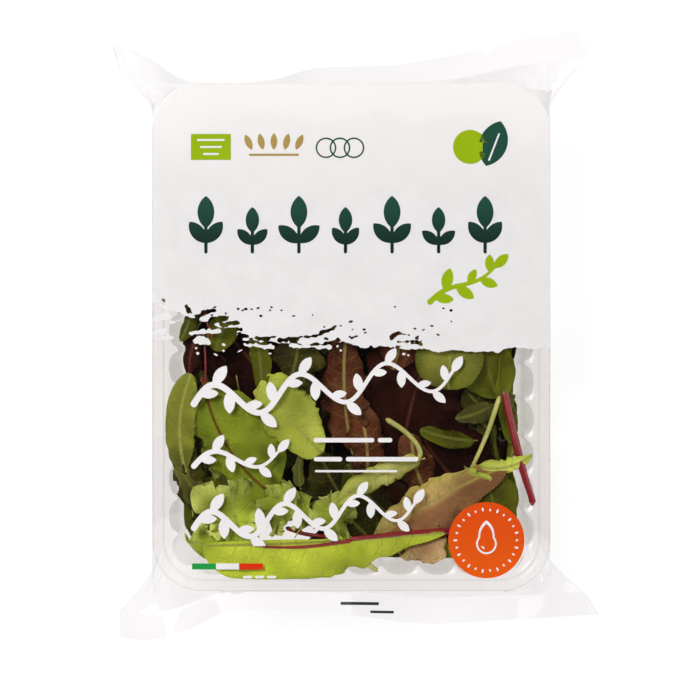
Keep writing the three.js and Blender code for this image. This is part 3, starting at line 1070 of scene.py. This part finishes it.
def contain(points, room=0.5, inset=0.0):
    """Presses points softly inside the tray's fluted walls and under the film."""
    x, y, z = points[..., 0], points[..., 1], points[..., 2]
    over = smoothstep(LEDGE_Z + 0.5, LEDGE_Z + 2.2, z)
    into_flutes = 0.4 * np.clip(z / LEDGE_Z, 0, 1)
    bulge = np.where(x < 0, np.interp(y, *LEFT_FLUTES, 0, 0), np.interp(y, *RIGHT_FLUTES, 0, 0))
    wall_x, wall_y = room_at(z)
    wall_x = wall_x + into_flutes * bulge
    wall_y = wall_y + into_flutes * np.where(y < 0, np.interp(x, *NEAR_FLUTES, 0, 0), 0)
    half_width = lerp(wall_x, ROOM_OVER_LEDGE[0], over) - WALL_IN - inset
    half_length = lerp(wall_y, ROOM_OVER_LEDGE[1], over) - WALL_IN - inset
    x = soft_clip(x, half_width)
    past = np.clip(np.abs(x) - (half_width - ROOM_CORNER), 0, ROOM_CORNER)
    y = soft_clip(y, half_length - ROOM_CORNER + np.sqrt(ROOM_CORNER ** 2 - past ** 2))
    roof = top_height(np.clip(x, -88, 88), np.clip(y, -113, 113)) - UNDER_FILM - room
    z = roof - soft_over(roof - z)
    z = FLOOR_Z + soft_over(z - FLOOR_Z)
    return np.stack([x, y, z], -1)


def soft_over(value, bend=0.5):
    """value where it is well above 0, bending to a small positive number below."""
    return bend * np.logaddexp(0, value / bend)


def soft_clip(value, limit):
    return np.sign(value) * (limit - soft_over(limit - np.abs(value), 0.8))


class Heap:
    """Collects leaves by piece and stems by colour, then makes one mesh of each."""

    def __init__(self):
        self.parts = {}

    def add(self, name, points, faces, uv, tint):
        self.parts.setdefault(name, []).append((points, faces, uv, tint))

    def build(self, materials):
        for name, parts in sorted(self.parts.items()):
            start, faces = 0, []
            for points, part_faces, _, _ in parts:
                faces.append(part_faces + start)
                start += len(points)
            points, uv, tint = (np.concatenate([part[k] for part in parts]) for k in (0, 2, 3))
            material, slot = materials[name]
            add_piece(name, points, np.concatenate(faces), material, slot, uv=uv, tint=tint)


def thin_solid(mid):
    """Points and triangles of a thin closed sheet round a grid of points, both faces split alike."""
    rows, columns = mid.shape[:2]
    d_row, d_column = np.gradient(mid, axis=0), np.gradient(mid, axis=1)
    normal = unit(np.cross(d_row, d_column))
    points = np.concatenate([(mid + side * LEAF_HALF_THICKNESS * normal).reshape(-1, 3) for side in (1, -1)])
    count = rows * columns
    top = triangles(grid_faces(rows, columns))
    under = top[:, ::-1] + count
    index = np.arange(count).reshape(rows, columns)
    rim = np.concatenate([index[0, :-1], index[:-1, -1], index[-1, :0:-1], index[:0:-1, 0]])
    after = np.roll(rim, -1)
    wall = triangles(np.stack([rim, rim + count, after + count, after], -1))
    return points, np.concatenate([top[:, ::-1], under[:, ::-1], wall[:, ::-1]])


def tube(path, radii, around):
    """Points and triangles of a round stem along a path, closed to a point at each end."""
    path = np.asarray(path, float)
    tangent = unit(np.gradient(path, axis=0))
    side = unit(np.cross(tangent, np.array([0.12, 0.07, 1.0])))
    up = np.cross(side, tangent)
    angle = 2 * np.pi * np.arange(around) / around
    ring = np.cos(angle)[:, None] * side[:, None] + np.sin(angle)[:, None] * up[:, None]
    points = (path[:, None] + ring * np.asarray(radii)[:, None, None]).reshape(-1, 3)
    return points, triangles(grid_faces(len(path), around, closed=True))


def add_stem(heap, path, radius, colour, seed, taper, tone=1.0, steps=3, around=6):
    """A stem through points in the tray's frame, with a number of steps from point to point."""
    path = np.array(path, float)
    t = np.linspace(0, len(path) - 1, steps * (len(path) - 1) + 1)
    smooth = np.stack([np.interp(t, np.arange(len(path)), path[:, k]) for k in range(3)], -1)
    for _ in range(round(0.2 * steps ** 2)):
        smooth[1:-1] = (smooth[:-2] + 2 * smooth[1:-1] + smooth[2:]) / 4
    smooth = contain(smooth, room=radius)
    share = np.linspace(0, 1, len(smooth))
    radii = radius * lerp(1, taper, share) * (1 + 0.08 * noise(share * 9, 0, seed))
    radii[[0, -1]] *= 0.3
    points, faces = tube(smooth, radii, around)
    hue = linear(*STEM_COLOURS[colour]) * tone * (1 + 0.15 * noise(seed * 1.7))
    shade = 1 + 0.2 * noise(points[:, 0] / 6, points[:, 1] / 6, seed)[:, None]
    tint = np.column_stack([hue * shade, np.ones(len(points))])
    uv = np.repeat(share, around)[:, None] * [1, 0]
    heap.add("stems_" + colour, points, faces, uv, tint)


def leaf_tint(kind, mid, u, v, along, across, edge, seed, tone):
    """Each place's colour, with its share of the leaf's length as the fourth value."""
    inner, outer, blotch = (linear(*rgb) for rgb in (kind.inner, kind.outer, kind.blotch))
    spots = smoothstep(-0.1, 0.7, noise(along / 11, across / 11, seed + 8))[..., None]
    colour = lerp(lerp(inner, outer, (edge ** 1.5)[..., None]), blotch, 0.7 * spots)
    if kind.right:
        colour = lerp(colour, linear(*kind.right), 0.85 * smoothstep(0.04, -0.25, v)[..., None])
    # Painted shade: the tint darkens lower in the heap, times the tone passed in, and leaves by the walls
    # keep most of their colour.
    depth = tone * lerp(DEEP_PAINTED_SHADE, 1, smoothstep(28, 46, mid[..., 2]))
    by_wall = smoothstep(0.78, 0.93, np.maximum(np.abs(mid[..., 0]) / 76, np.abs(mid[..., 1]) / 101))
    patches = 1 + 0.3 * noise(along / 15, across / 9, seed + 9)
    whole = 1 + 0.10 * noise(seed * 2.3, 0.7)
    colour = colour * (lerp(depth, 1, 0.85 * by_wall) * patches * whole)[..., None]
    return np.concatenate([colour, u[..., None]], -1).reshape(-1, 4)


def add_leaf(heap, kind_name, base, tip, half_width, seed, bend=0.0, roll=0.0, arch=1.0, sides=(1, 1),
             fine=1.0, stem_length=0.25, tone=1.0):
    """One leaf from its base to its tip, with its rib and a length of stem."""
    kind = LEAF_KINDS[kind_name]
    base, tip = np.array(base, float), np.array(tip, float)
    length = np.linalg.norm(tip - base)
    course = (length, base, tip, bend, roll, arch)
    rows, columns = max(10, round(length * fine)), max(7, round(1.6 * half_width * fine) | 1)
    u, v, along, across, height, edge = leaf_surface(kind, length, half_width, seed, rows, columns, sides)
    inset = 1.6 * (1 + noise(seed * 1.3, 0.4))
    mid = contain(place_leaf(along, across, height, *course), inset=inset)
    points, faces = thin_solid(mid)
    tint = leaf_tint(kind, mid, u, v, along, across, edge, seed, tone)
    uv = np.stack([along / UV_LENGTH, across / UV_LENGTH], -1).reshape(-1, 2)
    heap.add(kind.piece, points, faces, np.tile(uv, (2, 1)), np.tile(tint, (2, 1)))
    radius = kind.rib * (0.5 + half_width / 30)
    line = np.linspace(-stem_length, -0.02, 5) * length
    zero = np.zeros_like(line)
    stem = contain(place_leaf(line, zero, zero, *course))
    under = np.array([0, 0, 0.55 * radius + LEAF_HALF_THICKNESS])
    rib = np.concatenate([stem, mid[1:round(0.85 * rows):4, columns // 2]]) - under
    add_stem(heap, rib, radius, kind.stem, seed, taper=0.15)


# The leaves that show in the window, lowest first. Places are pixels of the photograph: kind, base, tip,
# half width in mm, sideways bend in mm, height at base and tip, roll in degrees.
SHOWN_LEAVES = [
    ("maroon", (402, 478), (432, 348), 26, 3, 35, 41, 4),
    ("maroon", (484, 486), (372, 372), 25, -4, 33, 39, -6),
    ("maroon", (486, 506), (424, 440), 17, 2, 33, 38, 8),
    ("red_frill", (330, 420), (214, 352), 20, 3, 29, 35, 6),
    ("maroon", (300, 420), (232, 340), 17, 0, 32, 37, -8),
    ("dark", (360, 520), (320, 455), 14, 2, 33, 38, 6),
    ("dark", (395, 520), (350, 470), 13, 2, 36, 40, -8),
    ("dark", (262, 500), (240, 420), 16, 2, 30, 34, -8),
    ("dark", (196, 495), (184, 523), 4, 1, 38, 38, 25),
    ("maroon", (208, 396), (197, 345), 8, 1, 36, 38, 0),
    ("dark", (376, 545), (342, 508), 10, 1, 36, 38, 0),
    ("grey", (197, 507), (175, 468), 5, -2, 46, 48, 15),
    ("dark", (503, 470), (495, 428), 1.6, 1, 37, 42, 10),
    ("dark", (500, 428), (466, 390), 9, 0, 38, 41, 0),
    ("dark", (497, 432), (481, 420), 4.5, 1, 40, 42, 10),
    ("spinach", (508, 534), (488, 468), 12, 2, 41, 45, 6),
    ("brown", (430, 500), (412, 436), 8, 2, 40, 43, -6),
    ("brown", (366, 485), (358, 404), 8, -2, 40, 44, 8),
    ("brown", (352, 452), (346, 336), 10, 2, 41, 44, -12),
    ("beige_frill", (428, 505), (406, 556), 14, 1, 43, 46, 4),
    ("frill", (466, 545), (436, 552), 5, 1, 42, 44, 8),
    ("frill", (344, 546), (330, 496), 10, 1, 39, 44, 6),
    ("frill", (300, 535), (294, 498), 8, -1, 38, 43, -8),
    ("frill", (238, 545), (188, 542), 9, 1, 39, 43, -10),
    ("spinach", (475, 441), (420, 430), 4.4, 1, 43, 44.5, 24),
    ("grey", (492, 406), (456, 419), 4.6, 1, 43, 45, 10),
    ("spinach", (514, 446), (508, 338), 5, 2, 41, 46, 35),
    ("brown", (400, 300), (394, 366), 13, 2, 44, 46, -6),
    ("spinach", (252, 318), (262, 392), 4.6, 1, 46, 47, 12),
    ("lobed", (296, 318), (290, 379), 11, 2, 43, 45.5, 6),
    ("lobed", (306, 366), (298, 392), 5, 1, 44, 46, -6),
    ("spinach", (228, 306), (214, 350), 7, 1, 44, 46, -6),
    ("spinach", (192, 302), (180, 341), 3.4, 1, 44, 46, 22),
    ("spinach", (214, 546), (206, 478), 14, 2, 36, 40, 4),
    ("frill", (248, 548), (230, 484), 17, 2, 42, 47, 6),
    ("frill", (276, 532), (274, 488), 10, -2, 43, 47, -4),
    ("dark", (206, 494), (200, 372), 7, 1, 38, 40, 10),
    ("dark", (192, 512), (179, 436), 6.5, -1, 46.5, 47.6, 8),
    ("plain", (186, 474), (191, 374), 7.2, 4, 48.2, 48.4, 4),
    ("spinach", (499, 399), (486, 330), 12.5, 2, 44, 46.5, -6),
    ("round", (456, 322), (449, 388), 15, -1, 46, 48, 3),
    ("maroon", (196, 334), (189, 374), 5, -1, 43, 44.5, 16),
    ("serrate", (264, 376), (322, 453), 12, -2, 47.5, 48, -3),
    ("grey", (300, 488), (302, 451), 2.6, 1, 44, 46, 18),
    ("serrate", (478, 466), (531, 456), 3.2, -3, 47.5, 48.5, 24),
    ("serrate", (466, 468), (492, 480), 2.2, -1, 47.5, 48, 30),
    ("blade", (420, 460), (338, 502), 5.2, -2, 48, 46, -8),
]
# Stems: colour, half width in mm, tone, and points with their heights.
SHOWN_STEMS = [
    ("red", 1.9, 1, [(504, 388, 44), (511, 420, 46), (518, 450, 47.5), (524, 474, 47.5), (535, 506, 46.5)]),
    ("red", 1.3, 1, [(480, 526, 44), (449, 531, 47), (400, 534, 48.3), (345, 540, 48.3)]),
    ("green", 1.1, 1, [(500, 396, 47), (490, 428, 47), (480, 452, 46), (469, 476, 44)]),
    ("green", 1.25, 1,
     [(386, 419, 46), (404, 430, 47.5), (417, 443, 48.3), (422, 455, 48.3), (414, 463, 48.3)]),
    ("green", 1.3, 1, [(352, 553, 46), (365, 563, 46.5), (378, 572, 47)]),
    ("red", 0.55, 0.6, [(203, 330, 44), (205, 358, 45.5), (205, 380, 46), (206, 400, 46.5)]),
    ("red", 1.0, 1, [(285, 529, 40), (304, 536, 41), (330, 538, 42)]),
    ("red", 0.75, 1, [(352, 541, 49.2), (322, 545.5, 49.3), (292, 548, 49.3), (262, 547, 49.1)]),
]
# Places where the photograph looks through between the leaves, each (x, y, radius) in pixels.
GAPS = [(497, 444, 7), (282, 539, 13), (188, 560, 12)]
# The same by the walls, where only the upper leaves keep away.
WALL_GAPS = [(412, 577, 16), (345, 580, 20), (188, 560, 18), (522, 500, 12), (528, 420, 10)]
FILLER_COUNT = 210
FILLER_KINDS = [
    "maroon", "red_frill", "brown", "dark", "spinach", "beet", "frill", "dark", "maroon", "lobed", "round",
]
WALL_KINDS = [
    "spinach", "beet", "maroon", "brown", "plain", "frill", "spinach", "red_frill", "grey", "serrate",
]
WALL_ROWS = (8, 19, 31)
# How finely leaves are meshed, against one row of points for each millimetre.
FRILLY = ("frill", "red_frill")
SHOWN_FRILL_FINE = 1.9
FILLER_FRILL_FINE = 0.7
FILLER_FINE = 0.42
WALL_FINE = 0.5
# The fillers' region: how far across, how near and how far, and what the window keeps for the shown leaves.
FILLER_SIDE, FILLER_NEAR, FILLER_FAR = 74, -93, 102
WINDOW_TOP, WINDOW_Z = 2, 33


def shown_leaves(heap):
    """The leaves and stems that show in the window, with three large leaves of uneven sides on top."""
    def place(x, y, z):
        return (*px(x, y), z)

    for n, (kind, base, tip, half_width, bend, base_z, tip_z, roll) in enumerate(SHOWN_LEAVES):
        start, end = place(*base, base_z), place(*tip, tip_z)
        fine = SHOWN_FRILL_FINE if kind in FRILLY else 1.0
        add_leaf(heap, kind, start, end, half_width, 11 * n + 5, bend, roll, fine=fine, stem_length=0.06)
    add_leaf(heap, "beige", place(374, 539, 45), place(512, 463, 47), 14.5, 451,
             bend=2, roll=4, sides=(1.0, 0.62), fine=1.4, stem_length=0.06)
    add_leaf(heap, "beet", place(204, 386, 46), place(276, 498, 45), 26, 905,
             bend=-6, roll=3, sides=(0.42, 1.0), fine=1.1, stem_length=0.06)
    add_leaf(heap, "beet_light", place(446, 533, 48.4), place(201, 546, 48.2), 18.5, 903,
             bend=1.0, roll=-2, arch=0.4, sides=(0.1, 1.0), fine=1.1, stem_length=0.1)
    for n, (colour, radius, tone, path) in enumerate(SHOWN_STEMS):
        course = [place(*point) for point in path]
        add_stem(heap, course, radius, colour, 700 + n, taper=0.8, tone=tone, steps=8, around=10)


def crosses(line, table, clear):
    """Whether a line comes nearer to a gap of a table than the gap's radius and a distance."""
    circles = [(*px(x, y), r * MM_PER_PX) for x, y, r in table]
    return any(np.hypot(line[:, 0] - x, line[:, 1] - y).min() < r + clear for x, y, r in circles)


def filler_leaves(heap):
    """The rest of the heap, seeded: leaves at every height, that keep clear of the gaps."""
    rng = np.random.default_rng(SEED + 3)
    made = 0
    while made < FILLER_COUNT:
        z = lerp(5, 45, (made / FILLER_COUNT) ** 1.1)
        length, heading = rng.uniform(32, 70), rng.uniform(0, 2 * math.pi)
        half_width = length * rng.uniform(0.2, 0.36)
        middle = np.array([rng.uniform(-70, 70), rng.uniform(-90, 94)])
        run = 0.5 * length * np.array([math.cos(heading), math.sin(heading)])
        line = middle + np.linspace(-1, 1, 9)[:, None] * run
        blocked = crosses(line, GAPS + (WALL_GAPS if z > 32 else []), 0.8 * half_width)
        in_window = line[:, 1].min() - 0.5 * half_width < WINDOW_TOP and z > WINDOW_Z
        outside = (np.abs(line[:, 0]).max() > FILLER_SIDE or line[:, 1].min() < FILLER_NEAR
                   or line[:, 1].max() > FILLER_FAR)
        if blocked or in_window or outside:
            continue
        tilt = rng.uniform(-7, 7)
        kind = FILLER_KINDS[rng.integers(len(FILLER_KINDS))]
        base, tip = (*(middle - run), z - tilt), (*(middle + run), z + tilt)
        bend, roll, arch = rng.uniform(-5, 5), rng.uniform(-30, 30), rng.uniform(-2, 3)
        fine = FILLER_FRILL_FINE if kind in FRILLY else FILLER_FINE
        # Painted shade: fillers lower in the heap get a darker tone, from 0.55 at the floor to full at the
        # ledge.
        add_leaf(heap, kind, base, tip, half_width, 2000 + 13 * made, bend, roll, arch,
                 fine=fine, tone=lerp(0.55, 1, z / LEDGE_Z))
        made += 1


def wall_leaves(heap):
    """Leaves that stand against the walls in three rows, seeded, and keep clear of the gaps."""
    rng = np.random.default_rng(SEED + 4)
    number = 0
    for z in WALL_ROWS:
        out_x, out_y = room_at(z)
        spots = [((side * out_x, y), (-side, 0), (0, 1)) for side in (-1, 1) for y in range(-78, 92, 16)]
        spots += [((x, side * out_y), (0, -side), (1, 0)) for side in (-1, 1) for x in range(-54, 55, 18)]
        for place, inward, run in spots:
            length, turn = rng.uniform(30, 46), rng.choice([-1, 1])
            middle = np.array(place) + np.array(inward) * rng.uniform(3, 6.5)
            half = 0.5 * length * turn * np.array(run)
            tilt, height = rng.uniform(-7, 7), z + rng.uniform(-3, 3)
            kind = WALL_KINDS[rng.integers(len(WALL_KINDS))]
            half_width, roll = length * rng.uniform(0.22, 0.32), rng.uniform(50, 80) * rng.choice([-1, 1])
            number += 1
            if crosses(middle + np.linspace(-1, 1, 9)[:, None] * half, GAPS, 0.1 * half_width):
                continue
            base, tip = (*(middle - half), height - tilt), (*(middle + half), height + tilt)
            add_leaf(heap, kind, base, tip, half_width, 6000 + 17 * number,
                     roll=roll, fine=WALL_FINE, stem_length=0.15)


def veins(s, along, across, wander, net):
    """Masks of a leaf's rib, of the veins that branch from it, and of the fine net between them."""
    aside = s.math("ABSOLUTE", across)
    course = s.math("SUBTRACT", along, s.times(aside, 0.62))
    cycle = s.math("FRACT", s.times(s.add(course, s.times(wander, 0.07)), UV_LENGTH / VEIN_PITCH))
    off_line = s.math("ABSOLUTE", s.math("SUBTRACT", cycle, 0.5))
    side = s.times(s.ramp(off_line, 0.055, 0.0), s.ramp(aside, 0.34, 0.0))
    return s.ramp(aside, 0.02, 0.006), side, s.ramp(net, 0.09, 0.0)


def leaf_material(name, rib_colour, vein_colour, vein_amount, roughness, glow, shine=0.1):
    """A leaf: its tint, veins of another colour, and a satin surface that lets some light through."""
    s = Shader(name)
    place = s.node("UVMap", {"uv_map": "uv"}).outputs["UV"]
    parts = s.node("SeparateXYZ", Vector=place)
    colour = s.node("Attribute", {"attribute_name": "tint"})
    wander = s.node("TexNoise", Vector=place, Scale=7.0, Detail=3.0).outputs["Fac"]
    net = s.node("TexVoronoi", {"feature": "DISTANCE_TO_EDGE"}, Vector=place, Scale=21.0).outputs["Distance"]
    rib, side_vein, net_vein = veins(s, parts.outputs["X"], parts.outputs["Y"], wander, net)
    fine = s.node("TexNoise", Vector=place, Scale=60.0, Detail=5.0, Roughness=0.65).outputs["Fac"]
    broad = s.node("TexNoise", Vector=place, Scale=5.0, Detail=2.0).outputs["Fac"]
    shade = s.add(s.add(s.times(fine, 0.35), s.times(broad, 0.75)), 0.45)
    base = s.mix(1.0, colour.outputs["Color"], shade, blend="MULTIPLY")
    base = s.mix(s.times(net_vein, 0.35 * vein_amount), base, vein_colour)
    base = s.mix(s.times(side_vein, vein_amount), base, vein_colour)
    base = s.mix(s.times(rib, 0.8), base, rib_colour)
    relief = s.add(s.times(side_vein, -0.8), s.times(net_vein, -0.4))
    relief = s.add(s.add(relief, s.times(fine, 0.5)), s.times(broad, 1.2))
    bump = s.node("Bump", Strength=0.7, Distance=0.0006, Height=relief).outputs["Normal"]
    rough = s.add(s.times(fine, 0.2), roughness)
    skin = s.node("BsdfPrincipled", Base_Color=base, Roughness=rough, Normal=bump, Specular_IOR_Level=shine)
    lit = s.mix(0.35, base, (1.0, 1.0, 0.3), blend="SCREEN") if glow > 0.2 else base
    light = s.node("BsdfTranslucent", Color=lit, Normal=bump).outputs[0]
    return s.finish(s.blend(glow, skin.outputs[0], light))


def stem_material(name, roughness):
    """A stem: its tint with fine streaks along it."""
    s = Shader(name)
    colour = s.node("Attribute", {"attribute_name": "tint"}).outputs["Color"]
    place = s.node("TexCoord").outputs["Object"]
    streaks = s.node("TexNoise", Vector=place, Scale=900.0, Detail=3.0).outputs["Fac"]
    base = s.mix(1.0, colour, s.add(s.times(streaks, 0.7), 0.65), blend="MULTIPLY")
    bump = s.node("Bump", Strength=0.4, Distance=0.0003, Height=streaks).outputs["Normal"]
    return s.finish(s.node("BsdfPrincipled", Base_Color=base, Roughness=roughness, Normal=bump).outputs[0])


# Leaf materials by piece: rib's and veins' colours, how strong the veins are, roughness, how much light the
# leaf lets through, shine, and the slot. The ribs of three kinds are of one pale green.
PALE = (172, 176, 84)
LEAF_LOOKS = {
    "leaves_beet": ((104, 34, 20), (158, 166, 50), 0.35, 0.36, 0.18, 0.1, "leaf_green"),
    "leaves_light": (PALE, (214, 216, 110), 0.4, 0.4, 0.22, 0.1, "leaf_light"),
    "leaves_round": (PALE, (180, 186, 100), 0.4, 0.34, 0.2, 0.1, "leaf_green"),
    "leaves_spinach": ((112, 116, 44), (124, 130, 50), 0.35, 0.36, 0.14, 0.1, "leaf_green"),
    "leaves_frilly_green": (PALE, (200, 208, 96), 0.35, 0.4, 0.22, 0.1, "leaf_light"),
    "leaves_frilly_red": ((96, 50, 36), (84, 42, 34), 0.3, 0.36, 0.08, 0.05, "leaf_red"),
    "leaves_brown": ((176, 158, 84), (164, 140, 80), 0.45, 0.38, 0.16, 0.08, "leaf_brown"),
}


def build_leaves():
    materials = {
        "stems_red": (stem_material("stem_red", 0.32), "stem_red"),
        "stems_green": (stem_material("stem_green", 0.35), "stem_green"),
    }
    for piece, (rib, vein, *look, slot) in LEAF_LOOKS.items():
        name = piece.replace("leaves", "leaf")
        materials[piece] = leaf_material(name, linear(*rib), linear(*vein), *look), slot
    heap = Heap()
    shown_leaves(heap)
    filler_leaves(heap)
    wall_leaves(heap)
    heap.build(materials)


# The stage: a pale floor, soft light, and a camera that looks straight down.
CAMERA_HEIGHT = 1.25
SENSOR = 36.0


# Each lamp: where it is, its size and its power. It looks at the origin.
LAMPS = {
    "key": ((-0.75, 0.65, 1.5), 0.6, 22.5),
    "fill": ((1.3, 0.3, 1.1), 1.0, 10.0),
    "front": ((0.1, -1.5, 1.0), 1.1, 7.5),
}
# The sky's tone at each height, from the horizon up: bright low down and dark overhead.
SKY = ((0.12, (1.0, 0.99, 0.98, 1)), (0.55, (0.16, 0.16, 0.16, 1)), (0.88, (0.03, 0.03, 0.03, 1)))


def build_floor():
    """A pale paper that is lit a little from within."""
    s = Shader("floor")
    place = s.node("TexCoord").outputs["Object"]
    grain = s.node("TexNoise", Vector=place, Scale=3.0, Detail=2.0).outputs["Fac"]
    tone = s.mix(s.ramp(grain, 0.3, 0.7), (0.93, 0.93, 0.93), (0.95, 0.95, 0.95))
    paper = s.node("BsdfDiffuse", Color=tone).outputs[0]
    glow = s.node("Emission", Color=(1.0, 1.0, 1.0), Strength=1.08).outputs[0]
    material = s.finish(s.blend(0.8, paper, glow))
    bpy.ops.mesh.primitive_plane_add(size=6, location=(0, 0, -0.0003))
    floor = bpy.context.object
    floor.name = "floor"
    floor.data.materials.append(material)


def build_lamps():
    for name, (spot, size, power) in LAMPS.items():
        light = bpy.data.lights.new(name, "AREA")
        light.size = size
        light.energy = power
        lamp = bpy.data.objects.new(name, light)
        lamp.location = spot
        lamp.rotation_euler = (-Vector(spot)).to_track_quat("-Z", "Y").to_euler()
        bpy.context.collection.objects.link(lamp)


def build_sky():
    world = bpy.data.worlds.new("studio")
    bpy.context.scene.world = world
    world.use_nodes = True
    tree = world.node_tree
    tree.nodes.clear()
    kinds = ("TexCoord", "SeparateXYZ", "ValToRGB", "Background", "OutputWorld")
    direction, split, ramp, sky, out = (tree.nodes.new("ShaderNode" + kind) for kind in kinds)
    tree.links.new(direction.outputs["Generated"], split.inputs[0])
    tree.links.new(split.outputs["Z"], ramp.inputs[0])
    tree.links.new(ramp.outputs[0], sky.inputs["Color"])
    tree.links.new(sky.outputs[0], out.inputs["Surface"])
    stops = ramp.color_ramp.elements
    stops.new(SKY[2][0])
    for stop, (height, tone) in zip(stops, SKY):
        stop.position = height
        stop.color = tone
    sky.inputs["Strength"].default_value = 1.0


def build_camera():
    """A camera straight above the photograph's middle, that sees its width at the tray's top."""
    camera = bpy.data.cameras.new("camera")
    camera.sensor_width = SENSOR
    camera.lens = SENSOR * (CAMERA_HEIGHT - HEIGHT * MM) / (PHOTO_PX * MM_PER_PX * MM)
    middle = px(PHOTO_PX / 2, PHOTO_PX / 2) * MM + OFFSET[:2]
    eye = bpy.data.objects.new("camera", camera)
    eye.location = (*middle, CAMERA_HEIGHT)
    bpy.context.collection.objects.link(eye)
    bpy.context.scene.camera = eye
    bpy.context.scene.view_settings.view_transform = "Standard"
    bpy.context.scene.cycles.transparent_max_bounces = 32


FILM = clear_plastic("film_clear", (0.988, 0.976, 0.98), (0.86, 0.84, 0.85), 0.02, 0.06, 0.0015, 60.0, 0.7)
TRAY = clear_plastic("tray_clear", (0.984, 0.97, 0.946), (0.93, 0.9, 0.86), 0.02, 0.22, 0.035, 90.0, 0.15)

build_film(FILM)
print_band()
print_white_fine()
print_marks()
print_disc_and_stripe()
print_seal_marks()
build_tray(TRAY)
build_leaves()
build_floor()
build_lamps()
build_sky()
build_camera()
